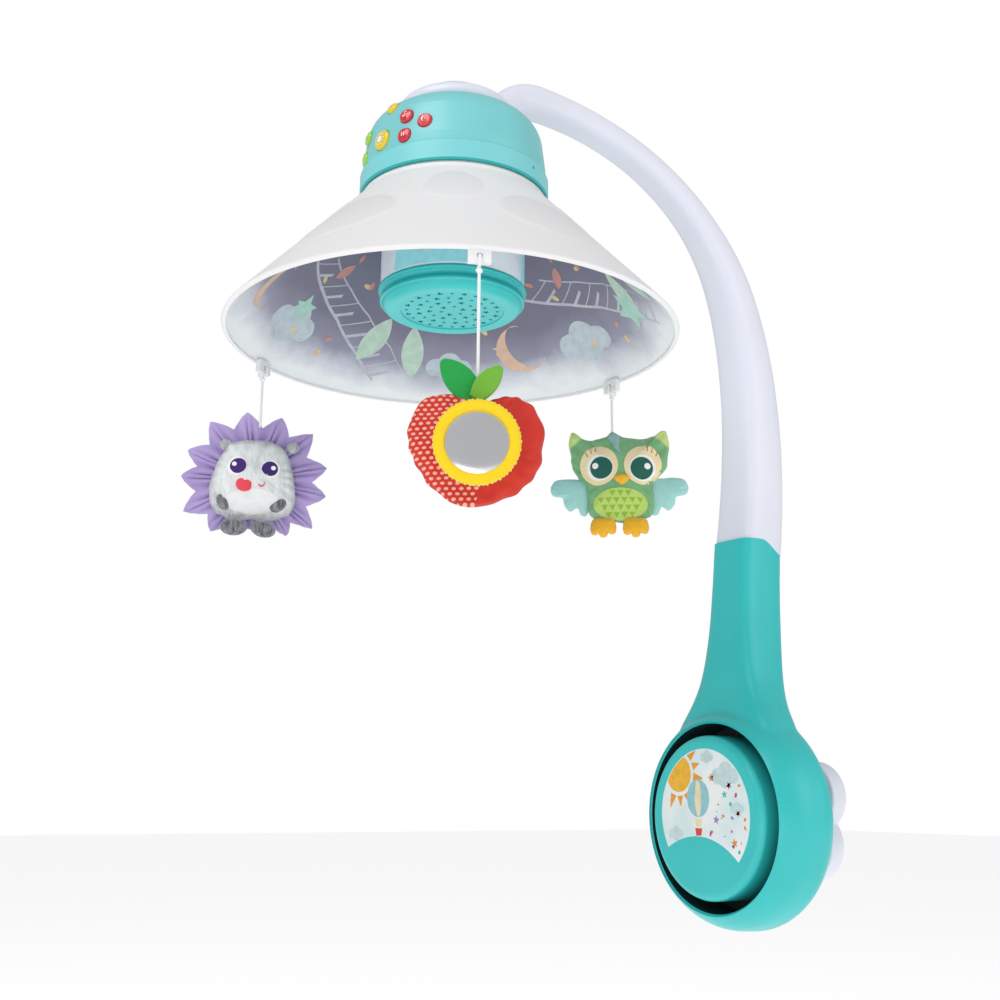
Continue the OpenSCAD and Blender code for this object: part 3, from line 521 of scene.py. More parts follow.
# ---------------------------------------------------------------- clover knob
KNOB_FRONT, KNOB_BACK, KNOB_AT, KNOB_R, KNOB_REST = -14.3, -30.3, 17.0, 25.0, -7.0
profile = ([(0, KNOB_BACK)] + arc(KNOB_R - 5, KNOB_BACK + 5, 5, -90, 0)
           + arc(KNOB_R - 1, KNOB_FRONT - 1, 1, 0, 90, 4) + [(0, KNOB_FRONT)])
knob = lathe("knob", profile, None, axis="X", closed=False)
for k in range(4):
    a = math.radians(45 + 90 * k + KNOB_REST)
    at = (0, KNOB_AT * math.sqrt(2) * math.cos(a), KNOB_AT * math.sqrt(2) * math.sin(a))
    cut(knob, lathe("lobe", profile, None, axis="X", at=at, closed=False), "UNION")
remesh(knob, 0.001, 6, 0.5)
cut(knob, lathe("knob_bore", slab(8.6, -40, -5), None, axis="X", closed=False))
cut(knob, lathe("nut_seat", slab(15.1, -25.3, -5), None, axis="X", closed=False))
knob.data.materials.append(WHITE)
sharpen(knob, 40)
knob.name = "knob_clover"
finish_piece(knob, "knob", ["clamp_knob"], "white_plastic")


# ---------------------------------------------------------------- printed shapes
def patch(outline, at, rings=4):
    """Triangles of a star-shaped outline about its middle, fine enough to follow a curved face."""
    cx, cy = at
    n = len(outline)
    pts, faces = [(cx, cy)], []
    for k in range(1, rings + 1):
        s = k / rings
        pts += [(cx + (x - cx) * s, cy + (y - cy) * s) for x, y in outline]
    faces += [(0, 1 + i, 1 + (i + 1) % n) for i in range(n)]
    for k in range(rings - 1):
        a, b = 1 + k * n, 1 + (k + 1) * n
        faces += [(a + i, b + i, b + (i + 1) % n, a + (i + 1) % n) for i in range(n)]
    return pts, faces


def strip(left, right, across=3):
    pts = [tuple(l[k] + (r[k] - l[k]) * j / across for k in (0, 1)) for l, r in zip(left, right)
           for j in range(across + 1)]
    w = across + 1
    return pts, [(i * w + j, (i + 1) * w + j, (i + 1) * w + j + 1, i * w + j + 1)
                 for i in range(len(left) - 1) for j in range(across)]


def turned(points, cx, cy, t):
    """Points turned by t radians and moved to (cx, cy)."""
    return [(cx + x * math.cos(t) - y * math.sin(t), cy + x * math.sin(t) + y * math.cos(t)) for x, y in points]


def ellipse(cx, cy, rx, ry, turn=0, n=28):
    angles = [2 * math.pi * i / n for i in range(n)]
    return turned([(rx * math.cos(a), ry * math.sin(a)) for a in angles], cx, cy, math.radians(turn))


def blob(cx, cy, rx, ry=None, turn=0, rings=3):
    return patch(ellipse(cx, cy, rx, ry or rx, turn), (cx, cy), rings)


def star(cx, cy, r, turn=0, points=5, inner=0.45):
    out = []
    for i in range(2 * points):
        a, q = math.radians(90 + turn) + math.pi * i / points, r if i % 2 == 0 else r * inner
        out.append((cx + q * math.cos(a), cy + q * math.sin(a)))
    return patch(out, (cx, cy), 2)


def leaf(cx, cy, length, width, turn=0):
    t = math.radians(turn)
    side = [(length * (i / 12 - 0.5), width / 2 * math.sin(math.pi * i / 12) ** 0.8) for i in range(13)]
    out = side + [(x, -y) for x, y in side[-2:0:-1]]
    return patch(turned(out, cx, cy, t), (cx, cy), 4)


def moon(cx, cy, r, turn=0):
    t = math.radians(turn)
    outer, inner = [], []
    for i in range(25):
        a = math.radians(-128 + 256 * i / 24)
        outer.append((r * math.cos(a), r * math.sin(a)))
        s = math.sin(math.pi * i / 24)
        inner.append((r * math.cos(a) - 0.52 * r * s, r * math.sin(a)))
    return strip(turned(outer, cx, cy, t), turned(inner, cx, cy, t), 4)


def cloud(cx, cy, w):
    puffs = [(-0.30, 0, 0.22), (0.02, 0.10, 0.28), (0.32, 0.0, 0.20), (0.0, -0.08, 0.24)]
    out = []
    for i in range(48):
        a = 2 * math.pi * i / 48
        c, s, far = math.cos(a), math.sin(a), 0
        for px, py, pr in puffs:
            along = px * c + py * s
            off = px * px + py * py - along * along
            if off < pr * pr:
                far = max(far, along + math.sqrt(pr * pr - off))
        out.append((cx + w * c * far, cy + w * s * max(far, 0.1)))
    return patch(out, (cx, cy), 4)


def decal(name, shapes, place, material, body, slot, thick=0.07):
    """Thin printed pieces laid on a surface of a rigid body."""
    return finish_piece(raised(name, shapes, place, 0.015, thick, material, 50), body, slot=slot)


def ink(name, colour, rough=0.5):
    m = Mat("ink_" + name, colour, rough)
    dark = tuple(c * 0.80 for c in colour)
    m.colour(m.mix(m.ramp(m.noise(160, 4, 0.6), black_white(0.3, 0.7)), dark, colour))
    m.bump(m.noise(1500, 2), 0.00002, 0.4)
    return m.mat


INK = {k: ink(k, c) for k, c in dict(
    sun=(0.93, 0.50, 0.03), ray=(0.92, 0.36, 0.02), cloud=(0.60, 0.76, 0.78), pink=(0.80, 0.06, 0.22),
    mint=(0.10, 0.55, 0.42), lilac=(0.42, 0.24, 0.62), orange=(0.90, 0.28, 0.04), sky=(0.30, 0.62, 0.68),
    red=(0.75, 0.05, 0.04), cream=(0.90, 0.78, 0.50), white=(0.90, 0.90, 0.92)).items()}
LABEL = Mat("label_paper", (0.78, 0.86, 0.86), 0.38)
LABEL.colour(LABEL.mix(LABEL.ramp(LABEL.noise(26, 3), black_white(0.42, 0.62)),
                       (0.66, 0.80, 0.81), (0.84, 0.88, 0.88)))
LABEL.bump(LABEL.noise(1800, 2), 0.00002, 0.4)
DISC = ("clamp", "label_print")
# The label is a disc with a round bite out of its lower edge
DISC_FACE, LABEL_R, LABEL_UP, BITE_U, BITE_V, BITE_R, MARGIN = 68.0, 45.2, 2, -8, -73, 60, 0.6


def on_disc(u, v, lift):
    return DISC_FACE + lift, u, v


def inside_label(u, v, edge):
    return (math.hypot(u, v - LABEL_UP) < LABEL_R - edge
            and math.hypot(u - BITE_U, v - BITE_V) > BITE_R + edge)


def clip_label(shape):
    """Pulls printed points back inside the label's edge."""
    pts, polys = shape
    out = []
    for u, v in pts:
        q, far = math.hypot(u, v - LABEL_UP), LABEL_R - MARGIN
        if q > far:
            u, v = u * far / q, LABEL_UP + (v - LABEL_UP) * far / q
        q, near = math.hypot(u - BITE_U, v - BITE_V), BITE_R + MARGIN
        if q < near:
            u, v = BITE_U + (u - BITE_U) * near / q, BITE_V + (v - BITE_V) * near / q
        out.append((u, v))
    return out, polys


SUN_U, SUN_V, SUN_R = -26, 30, 13


def sun_ray(k):
    """Wedge of the sun's crown that narrows outwards."""
    a = math.radians(-112 + 26 * k)
    near, far = SUN_R + 2.5, SUN_R + (12.5 if k % 2 == 0 else 9.5)
    left, right = ([(near, side * 3.0), (far, side * 0.4)] for side in (1, -1))
    return strip(turned(left, SUN_U, SUN_V, a), turned(right, SUN_U, SUN_V, a), 2)


def taper(u, high, low, wide, narrow):
    """Straight strip about u that is wide at its top and narrow at its foot."""
    return strip([(u - wide, high), (u - narrow, low)], [(u + wide, high), (u + narrow, low)])


decal("label_rays", [clip_label(sun_ray(k)) for k in range(7)], on_disc, INK["ray"], *DISC)
decal("label_sun", [clip_label(blob(SUN_U, SUN_V, SUN_R, rings=6))], on_disc, INK["sun"], *DISC, thick=0.09)
LABEL_CLOUDS = ((22, 28, 26), (4, 41, 13), (33, 6, 13), (-30, -12, 15))
decal("label_clouds", [clip_label(cloud(*c)) for c in LABEL_CLOUDS], on_disc, INK["cloud"], *DISC)
# A plain hot-air balloon stands where the photograph's character is
BALLOON_U, BALLOON_V, BALLOON_W, BALLOON_H = -6, 13, 11.5, 13
decal("label_balloon", [blob(BALLOON_U, BALLOON_V, BALLOON_W, BALLOON_H, rings=6)],
      on_disc, INK["sky"], *DISC, thick=0.10)
decal("label_balloon_stripes", [blob(BALLOON_U, BALLOON_V, 3.2, 12.6, rings=5),
                                taper(BALLOON_U, -1.2, -6.5, 3.5, 2.5)], on_disc, INK["cream"], *DISC, thick=0.13)
decal("label_basket", [taper(BALLOON_U, -7.5, -12.5, 3.5, 2.6)], on_disc, INK["red"], *DISC, thick=0.13)
SPOT_INKS = ("pink", "mint", "lilac", "orange")
spots = {k: [] for k in SPOT_INKS}
for k in range(46):
    u, v = random.uniform(-6, 43), random.uniform(-32, 22)
    if inside_label(u, v, 3) and math.hypot(u - BALLOON_U, v - 8) > 18:
        r = random.uniform(0.6, 2.1)
        spots[SPOT_INKS[k % 4]].append(star(u, v, r * 1.6, 90 * random.random()) if k % 5 == 0 else
                                       blob(u, v, r, r * random.uniform(0.5, 1), 180 * random.random(), 2))
spots["orange"] += [star(8, 27, 3.2, 12), star(34, 3, 2.6, 30)]
for name, shapes in spots.items():
    decal("label_spots_" + name, shapes, on_disc, INK[name], *DISC)

# ---------------------------------------------------------------- shade
IN_R0, IN_Z0, IN_R1, IN_Z1 = 146.8, 310.0, 58.8, 400.0
OUT_R0, OUT_Z0, OUT_R1, OUT_Z1 = 149.6, 309.9, 63.4, 401.5
SATIN = Mat("shade_satin", (0.84, 0.84, 0.85), 0.40, Subsurface_Weight=0.15, Subsurface_Scale=0.004)
window = SATIN.attribute("window")
flow = SATIN.ramp(SATIN.noise(14, 2), black_white(0.3, 0.75))
frost = SATIN.mix(flow, (0.815, 0.815, 0.825), (0.84, 0.84, 0.85))
SATIN.colour(SATIN.mix(window, frost, (0.735, 0.74, 0.75)))
SATIN.rough(SATIN.noise(60, 4), 0.34, 0.49)
SATIN.bump(SATIN.noise(2200, 2), 0.00002, 0.5)
NIGHT = Mat("night_print", (0.12, 0.11, 0.17), 0.42)
height = NIGHT.math("MULTIPLY_ADD", NIGHT.axes()[2], 1 / 0.09, -0.308 / 0.09)
cloudy = NIGHT.math("MULTIPLY_ADD", NIGHT.noise(16, 5, 0.6), 0.42, -0.21)
level = NIGHT.math("ADD", height, cloudy)
NIGHT.colour(NIGHT.ramp(level, [(0.04, (0.80, 0.83, 0.84)), (0.16, (0.58, 0.60, 0.66)), (0.30, (0.27, 0.27, 0.36)),
                                (0.50, (0.165, 0.160, 0.230)), (1.0, (0.185, 0.180, 0.250))]))
NIGHT.bump(NIGHT.noise(1500, 2), 0.00002, 0.4)
ROWS, ROUND = 96, 540


def along(r0, z0, r1, z1, count):
    """Even steps along a straight slant of the shade."""
    return [(r0 + (r1 - r0) * i / count, z0 + (z1 - z0) * i / count) for i in range(count + 1)]


collar = [(63.25, 403.4), (62.7, 404.5), (61.9, 404.85), (60.8, 404.9), (60.8, 408.3), (60.5, 408.5), (59.3, 408.5),
          (59.3, 402.5), (20.1, 402.5), (20.1, 400)]
section = ([(149.9, 309.2)] + along(OUT_R0, OUT_Z0, OUT_R1, OUT_Z1, ROWS) + collar
           + along(IN_R1, IN_Z1, IN_R0, IN_Z0, 40) + [(146.8, 308), (149, 308), (149.6, 308.4)])
shade = lathe("shade_cone", section, SATIN.mat, at=(HEAD_X, 0, 0), n=ROUND)
shade.data.materials.append(NIGHT.mat)
# Raised oval windows: azimuth, radius at the middle, half height along the radius, half width in degrees
WINDOWS = [(21 + 72 * k, 107, 18, 19.5) for k in range(5)] + [(59 + 72 * k, 86, 15, 12.5) for k in range(5)]
WINDOW_LIFT, WINDOW_EDGE, SLANT_OUT, SLANT_UP = 0.45, 0.05, 0.72, 0.69
shaded = []
for v in shade.data.vertices:
    x, y, z = v.co.x / MM - HEAD_X, v.co.y / MM, v.co.z / MM
    r = math.hypot(x, y)
    shaded.append(0.0)
    on_slant = OUT_R0 + (OUT_R1 - OUT_R0) * (z - OUT_Z0) / (OUT_Z1 - OUT_Z0)
    if not (OUT_Z0 <= z <= OUT_Z1 and abs(r - on_slant) < 0.3):
        continue
    az = math.degrees(math.atan2(y, x))
    for turn_at, r_mid, half_r, half_deg in WINDOWS:
        q = math.hypot(((az - turn_at + 180) % 360 - 180) / half_deg, (r - r_mid) / half_r)
        if q < 1:
            s = min(1, (1 - q) / WINDOW_EDGE)
            lift = WINDOW_LIFT * s * s * (3 - 2 * s)
            shaded[-1] = s * max(0.25, min(1, 0.55 - 0.45 * (r - r_mid) / half_r))
            out = 1 + lift * SLANT_OUT / r
            v.co.x, v.co.y = (HEAD_X + x * out) * MM, y * out * MM
            v.co.z += lift * SLANT_UP * MM
            break
layer = shade.data.attributes.new("window", "FLOAT", "POINT")
layer.data.foreach_set("value", shaded)
for p in shade.data.polygons:
    c = p.center
    r, z = math.hypot(c.x / MM - HEAD_X, c.y / MM), c.z / MM
    if 310 < z < 400.2 and r < IN_R0 - (z - IN_Z0) * 0.978 + 0.5 and r > 24:
        p.material_index = 1
sharpen(shade, 40)
finish_piece(shade, "rotor", ["shade"], "shade_plastic")


def on_cone(u, v, lift):
    """u in degrees about the head's axis, v the height, lift inwards off the printed face."""
    r = IN_R0 + (IN_R1 - IN_R0) * (v - IN_Z0) / (IN_Z1 - IN_Z0)
    k = lift + 0.05
    a = math.radians(u)
    r, z = r - k * 0.70, v - k * 0.71
    return HEAD_X + r * math.cos(a), r * math.sin(a), z


def cone_shape(shape, az, z):
    """Turns a flat shape in millimetres into cone degrees and height about one place."""
    pts, polys = shape
    r = IN_R0 + (IN_R1 - IN_R0) * (z - IN_Z0) / (IN_Z1 - IN_Z0)
    return [(az - math.degrees(x / r), z + y * 0.70) for x, y in pts], polys


PRINT = {k: ink("print_" + k, c, 0.5) for k, c in dict(
    rail=(0.52, 0.53, 0.60), leaf=(0.50, 0.66, 0.55), gold=(0.72, 0.55, 0.28), rose=(0.62, 0.28, 0.26),
    mist=(0.50, 0.58, 0.64), mint=(0.40, 0.66, 0.55), peach=(0.74, 0.50, 0.36)).items()}
# The ladder's two rails and the confetti, as (azimuth, height) on the cone
LOW_RAIL = [(324.5, 367), (303, 357), (288, 347.6), (274, 333), (264.9, 319.4)]
HIGH_RAIL = [(311.1, 375), (290, 365), (275.6, 355.2), (262, 340), (255.5, 326)]
CONFETTI = [(296, 382), (188, 363), (163, 370), (287, 336), (288, 327), (183, 333), (198, 374), (232, 366), (245, 378),
            (281, 371), (226, 352)]


def finer(points, count=24):
    """Line through the points with count even steps."""
    last, out = len(points) - 1, []
    for i in [j * last / count for j in range(count + 1)]:
        a, b = points[int(i)], points[min(int(i) + 1, last)]
        out.append(tuple(a[k] + (b[k] - a[k]) * (i % 1) for k in (0, 1)))
    return out


def band(points, half):
    return strip([(a, z + half) for a, z in points], [(a, z - half) for a, z in points], 1)


def ladder(o):
    """Two rails with rungs between them; every other rung is wide and short."""
    low, high = ([(a + o, z) for a, z in finer(rail)] for rail in (LOW_RAIL, HIGH_RAIL))
    shapes = [band(low, 0.9), band(high, 0.5)]
    for i in range(1, 24, 2):
        (a0, z0), (a1, z1) = low[i], high[i]
        half, reach = (0.35, 1.0) if i % 4 == 1 else (0.9, 0.62)
        steps = (0, reach / 3, reach * 2 / 3, reach)
        shapes.append(band([(a0 + (a1 - a0) * t, z0 + (z1 - z0) * t) for t in steps], half))
    return shapes


def print_third(copy):
    """The shade's print repeats three times round the cone."""
    o = -120 * copy

    def printed(name, colour, shapes, thick=0.07):
        name = "print_%s_%d" % (name, copy + 1)
        decal(name, shapes, on_cone, PRINT[colour], "rotor", "shade_plastic", thick=thick)

    def placed(*shapes):
        return [cone_shape(shape, a + o, z) for shape, a, z in shapes]

    printed("ladder", "rail", ladder(o))
    printed("leaves", "leaf", placed((leaf(0, 0, 42, 18, 68), 269, 343), (leaf(0, 0, 44, 17, 96), 253.5, 339)), 0.13)
    printed("moon", "peach", placed((moon(0, 0, 19, 205), 213, 340), (star(0, 0, 6), 221, 341)), 0.10)
    printed("clouds", "mist", placed((cloud(0, 0, 48), 306, 335), (cloud(0, 0, 34), 240, 331)), 0.10)
    big, small = (star(0, 0, 17, 8, 5, 0.5), 154, 336), (star(0, 0, 12, 8, 5, 0.5), 186, 345)
    printed("star_mint", "mint", placed(big if copy == 0 else small), 0.16)
    bits = placed(*[(blob(0, 0, 1.8, 3.4, 40 * j), a, z) for j, (a, z) in enumerate(CONFETTI)])
    printed("confetti_gold", "gold", [bit for j, bit in enumerate(bits) if j % 3], 0.19)
    printed("confetti_rose", "rose", bits[::3] + placed((leaf(0, 0, 18, 8, 60), 300, 372)), 0.22)


for copy in range(3):
    print_third(copy)

# ---------------------------------------------------------------- projector
# The film's faint glow is painted light, standing in for light that comes in through the shade
DIFF = Mat("diffuser_film", (0.62, 0.74, 0.78), 0.22, Subsurface_Weight=0.2, Subsurface_Scale=0.004, Coat_Weight=0.5,
           Emission_Color=(0.74, 0.84, 0.90, 1), Emission_Strength=0.30)
DIFF.colour(DIFF.mix(DIFF.ramp(DIFF.noise(22, 3, 0.5), black_white(0.40, 0.60)),
                     (0.50, 0.53, 0.60), (0.74, 0.80, 0.82)))
DIFF.bump(DIFF.noise(900, 2), 0.00002, 0.4)


DIFFUSER_R = 48


def on_diffuser(u, v, lift):
    a, r = math.radians(u), DIFFUSER_R + lift + 0.03
    return HEAD_X + r * math.cos(a), r * math.sin(a), v


def wrap(shape, az, z):
    pts, polys = shape
    return [(az - math.degrees(x / DIFFUSER_R), z + y) for x, y in pts], polys


ARM_T = ("arm", "teal_plastic")
PRINT_TURNS = (40, 160, 280)
SWATH_HALF, SWATH_FOOT, SWATH_HIGH, SWATH_STEPS = 33, 343.2, 46.0, 20
swaths = []
for mid in PRINT_TURNS:
    low, high = [], []
    for i in range(SWATH_STEPS + 1):
        a = mid - SWATH_HALF + 2 * SWATH_HALF * i / SWATH_STEPS
        low.append((a, SWATH_FOOT))
        high.append((a, SWATH_FOOT + 0.4 + SWATH_HIGH * math.sin(math.pi * i / SWATH_STEPS) ** 0.45))
    swaths.append(strip(low, high, 10))
AQUA = ink("print_aqua", (0.28, 0.66, 0.71), 0.35)
# The swath's faint glow is painted light, as on the diffuser film
painted_glow = AQUA.node_tree.nodes["Principled BSDF"].inputs
painted_glow["Emission Color"].default_value, painted_glow["Emission Strength"].default_value = (0.30, 0.74, 0.80, 1), 0.32
decal("projector_swath", swaths, on_diffuser, AQUA, *ARM_T, thick=0.06)
FILM_STARS = ((-1, 353, 3.8, 10), (14, 361.5, 3.6, -8), (-18, 366, 2.6, 20), (2, 374, 2.8, 0))
decal("projector_stars", [wrap(star(0, 0, r, t), mid + da, z) for mid in PRINT_TURNS for da, z, r, t in FILM_STARS],
      on_diffuser, INK_WHITE, *ARM_T, thick=0.12)

# ---------------------------------------------------------------- looks of the kept CAD parts
BASE = Mat("head_base_teal", (0.205, 0.64, 0.665), 0.34)
# A dark band runs round the foot of the head, just over the shade: painted shade where the head meets the shade
above_foot = BASE.math("MULTIPLY_ADD", BASE.axes()[2], 1000 / 15, -406 / 15)
foot_shade_mask = BASE.ramp(above_foot, [(0.07, (1, 1, 1)), (0.10, (0, 0, 0))])
BASE.colour(BASE.mix(foot_shade_mask, (0.205, 0.64, 0.665), (0.015, 0.42, 0.41)))
BASE.rough(BASE.noise(60, 4), 0.28, 0.42)
BASE.bump(BASE.noise(2200, 2), 0.00003, 0.5)
GRILLE = moulded("grille_teal", (0.045, 0.56, 0.56), 0.34)
LOOKS = [
    (TEAL, "teal_plastic", "front_disc lower_arm_cover projector_ring"),
    (LABEL.mat, "label_print", "disc_label"),
    (STEEL, "screw_steel", "disc_screws clamp_bolt knob_nut cover_screws hub_nut battery_contacts motor"
                           " head_screws idler_pin"),
    (WHITE, "white_plastic", "rear_jaw pressure_plate arm_spigot hub_lid chassis"),
    (RUBBER, "pad_rubber", "rail_pad pressure_pad key_mat"),
    (PALE, "pale_teal_plastic", "head_dome battery_door"),
    (BASE.mat, "pale_teal_plastic", "head_base"),
    (CELL, "battery_wrap", "battery_cells"),
    (BOARD, "board_green", "circuit_board led_board"),
    (INK_WHITE, "white_plastic", "projector_column shade_gear hook_tabs"),
    (DIFF.mat, "diffuser_plastic", "diffuser"),
    (BLACK, "speaker_black", "speaker"),
    (GRILLE, "teal_plastic", "star_grille"),
    (NYLON, "gear_nylon", "motor_pinion idler_gear"),
    (YELLOW, "button_yellow", "button_yellow_large button_yellow_small"),
    (RED, "button_red", "button_red_1 button_red_2 button_red_3"),
    (LIME, "button_green", "button_green_1 button_green_2")]
for material, slot_name, names in LOOKS:
    for name in names.split():
        o = NODES[name]
        o.data.materials.clear()
        o.data.materials.append(material)
        sharpen(o, 30)

# ---------------------------------------------------------------- icons on the buttons
DOME_R, DOME_Z, DOME_TOP = 62.2, 421.0, 465.0
# Azimuth, height and tilt of each button
BUTTONS = {"yellow_large": (9, 430, 3), "yellow_small": (14, 452.5, 30), "red_1": (28, 441, 10),
           "red_2": (40.5, 435, 6), "red_3": (27.5, 427, 2), "green_1": (-11, 441, 10), "green_2": (-14, 427, 2)}
DOME_BEND, DOME_SLOPE, BUTTON_RISE = 22.0, 0.07, 2.4


def dome_at(z):
    """Radius of the dome: a leaning wall under a quarter-round shoulder."""
    shoulder = DOME_TOP - DOME_BEND - 0.5
    if z < shoulder:
        return DOME_R - DOME_SLOPE * (z - DOME_Z)
    return DOME_R - DOME_BEND - 2 + math.sqrt(max(0, DOME_BEND**2 - (z - shoulder)**2))


def on_button(name):
    az, z, tilt = BUTTONS[name]
    a, t = math.radians(az), math.radians(tilt)
    normal = np.array([math.cos(t) * math.cos(a), math.cos(t) * math.sin(a), math.sin(t)])
    side = np.array([-math.sin(a), math.cos(a), 0])
    upward = np.cross(normal, side)
    base = np.array([HEAD_X + dome_at(z) * math.cos(a), dome_at(z) * math.sin(a), z])
    return lambda u, v, lift: base + side * u + upward * v + normal * (BUTTON_RISE + lift)


def bar(x, y, w, h):
    left, right, high, low = x - w / 2, x + w / 2, y + h / 2, y - h / 2
    return strip([(left, high), (right, high)], [(left, low), (right, low)], 1)


SPARKS = [blob(3.9 * math.cos(k * math.pi / 5), 3.9 * math.sin(k * math.pi / 5), 0.55) for k in range(10)]
icons = {"yellow_large": [blob(0, 0, 2.3)] + SPARKS,
         "yellow_small": [star(0, 0, 2.0)],
         "red_1": [blob(-0.9, -1.3, 0.85, 0.65, 20, 2), bar(-0.2, 0.4, 0.38, 3.4), bar(0.55, 1.8, 1.6, 0.55)],
         "red_2": [moon(0.2, 0, 2.0, 160)],
         "red_3": [bar(-0.8, 0, 0.7, 2.8), bar(0.8, 0, 0.7, 2.8)],
         "green_1": [bar(0, 0, 2.9, 0.75), bar(0, 0, 0.75, 2.9)],
         "green_2": [bar(0, 0, 2.9, 0.75)]}
for name, shapes in icons.items():
    slot_name = "button_" + name.split("_")[0]
    decal("icon_" + name, shapes, on_button(name), INK_WHITE, "button_%s_key" % name, slot_name, thick=0.08)

# ---------------------------------------------------------------- soft toys
def spline(points, n):
    """Closed smooth line through points, as n points."""
    m, out = len(points), []
    for i in range(n):
        s = i * m / n
        k, t = int(s), s - int(s)
        p = [np.array(points[(k + j - 1) % m], float) for j in range(4)]
        out.append(0.5 * (2 * p[1] + (p[2] - p[0]) * t + (2 * p[0] - 5 * p[1] + 4 * p[2] - p[3]) * t * t
                          + (3 * p[1] - p[0] - 3 * p[2] + p[3]) * t**3))
    return out


def pillow(name, outline, centre, thick, material, n=144, rings=16, fullness=2.4, pucker=0.5, pleats=19,
           x0=0.0, sim=False):
    """Stuffed cushion between two panels sewn along an outline, in the toy's own axes: x to the front."""
    line, c = spline(outline, n), np.array(centre, float)
    ruffle = [math.sin(2 * math.pi * pleats * i / n + 1.7 * math.sin(7 * math.pi * i / n)) for i in range(n)]
    verts, faces = [], []
    for side in (1, -1):
        for k in range(rings):
            s = k / rings
            near_seam = max(0, (s - 0.62) / 0.38)
            for p, w in zip(line, ruffle):
                x = side * thick / 2 * (1 - s**fullness) ** 0.62
                x *= 1 - 0.16 * near_seam * (1 + w)
                q = c + (p - c) * s
                verts.append((x0 + x, q[0], q[1]))
    seam = len(verts)
    for p, w in zip(line, ruffle):
        d = (p - c) / np.linalg.norm(p - c)
        w = pucker * w
        q = p + d * w * 0.6
        verts.append((x0 + w * 0.35, q[0], q[1]))
    for side in (0, 1):
        for k in range(rings):
            a = (side * rings + k) * n
            b = a + n if k + 1 < rings else seam
            for i in range(n):
                j = (i + 1) % n
                faces.append((a + i, b + i, b + j, a + j) if side == 0 else (a + i, a + j, b + j, b + i))
    o = outward(new_object(name, [[q * MM for q in v] for v in verts], faces, material), 2e-5)
    if sim:
        inflate(o, x0)
    with_modifier(o, "SUBSURF", levels=1, render_levels=1)
    apply_modifiers(o)
    o.data.polygons.foreach_set("use_smooth", [True] * len(o.data.polygons))
    return o


def inflate(o, x0, pressure=3.0, frames=18, cap=0.0028):
    """Blows the cushion up as cloth held at its seam, and keeps each point within cap of where it was."""
    rest = np.array([v.co for v in o.data.vertices])
    group = o.vertex_groups.new(name="seam")
    group.add([i for i, v in enumerate(rest) if abs(v[0] - x0 * MM) < 0.0007], 1.0, "REPLACE")
    m = o.modifiers.new("cloth", "CLOTH")
    st = m.settings
    st.quality, st.mass, st.use_pressure, st.uniform_pressure_force = 6, 0.15, True, pressure
    st.tension_stiffness = st.compression_stiffness = 12
    st.bending_stiffness, st.shrink_min = 0.4, -0.04
    st.effector_weights.gravity, st.vertex_group_mass = 0, "seam"
    m.collision_settings.use_self_collision = False
    scene = bpy.context.scene
    for f in range(1, frames + 1):
        scene.frame_set(f)
    dg = bpy.context.evaluated_depsgraph_get()
    moved = np.array([v.co for v in o.evaluated_get(dg).data.vertices])
    o.modifiers.clear()
    scene.frame_set(1)
    step = moved - rest
    size = np.linalg.norm(step, axis=1, keepdims=True)
    step *= np.minimum(1, cap / np.maximum(size, 1e-9))
    for v, p in zip(o.data.vertices, rest + np.nan_to_num(step)):
        v.co = p
    o.data.update()


def front_of(o):
    """Where a toy's front face is: place(u, v, lift) for appliques, in millimetres of the toy's axes."""
    tree = BVHTree.FromObject(o, bpy.context.evaluated_depsgraph_get())

    def place(u, v, lift):
        hit = tree.ray_cast(Vector((0.2, u * MM, v * MM)), Vector((-1, 0, 0)))
        x = hit[0].x / MM if hit[0] else 0.5
        return x + lift + 0.12, u, v
    return place


def hang(o, toy, replaced=(), slot=None):
    """Puts a piece made in a toy's own axes where the toy hangs."""
    x, y = hook_point(toy)
    facing = Matrix.Rotation(math.radians(TOYS[toy][0]), 4, "Z")
    o.matrix_world = Matrix.Translation(Vector((x, y, 0)) * MM) @ facing
    return finish_piece(o, toy, replaced, slot)


FACES = {}  # toy: its front face and the slot of what is sewn on it


def sewn(name, shapes, toy, material, thick):
    """Applique or print on a toy's front."""
    place, slot = FACES[toy]
    return hang(raised(name, shapes, place, -0.3, thick, material, 60), toy, slot=slot)


def stuffed(name, outline, centre, thick, material, toy, replaced, slot, **values):
    """Small cushion that is part of a toy."""
    return hang(pillow(name, outline, centre, thick, material, **values), toy, replaced, slot)


def blobs(places, rings=3):
    return [blob(*place, rings=rings) for place in places]


def oval(u, v, rx, ry, turn=0, n=28):
    return patch(ellipse(u, v, rx, ry, turn, n), (u, v), 8)


# Apple: two panels, the left one printed with rows of dots
APPLE = [(-1, 220.5), (-8, 223.5), (-20.5, 225), (-29.4, 221.8), (-35.5, 213.5), (-37.7, 203.5), (-37.2, 195.8),
         (-34.4, 188), (-29.4, 179.2), (-22.8, 171.4), (-13.9, 165.4), (-1.7, 162.3), (8.3, 165.2), (19.4, 168.6),
         (28.3, 175.8), (33.8, 183.5), (35.6, 192.4), (36.6, 202.3), (34.9, 211.2), (30.5, 218.9), (23.8, 223.4),
         (17.7, 224.7), (10.5, 223.6), (3.9, 220.9)]
DOT_ROW, DOT_PITCH = 0.0027, 0.0040


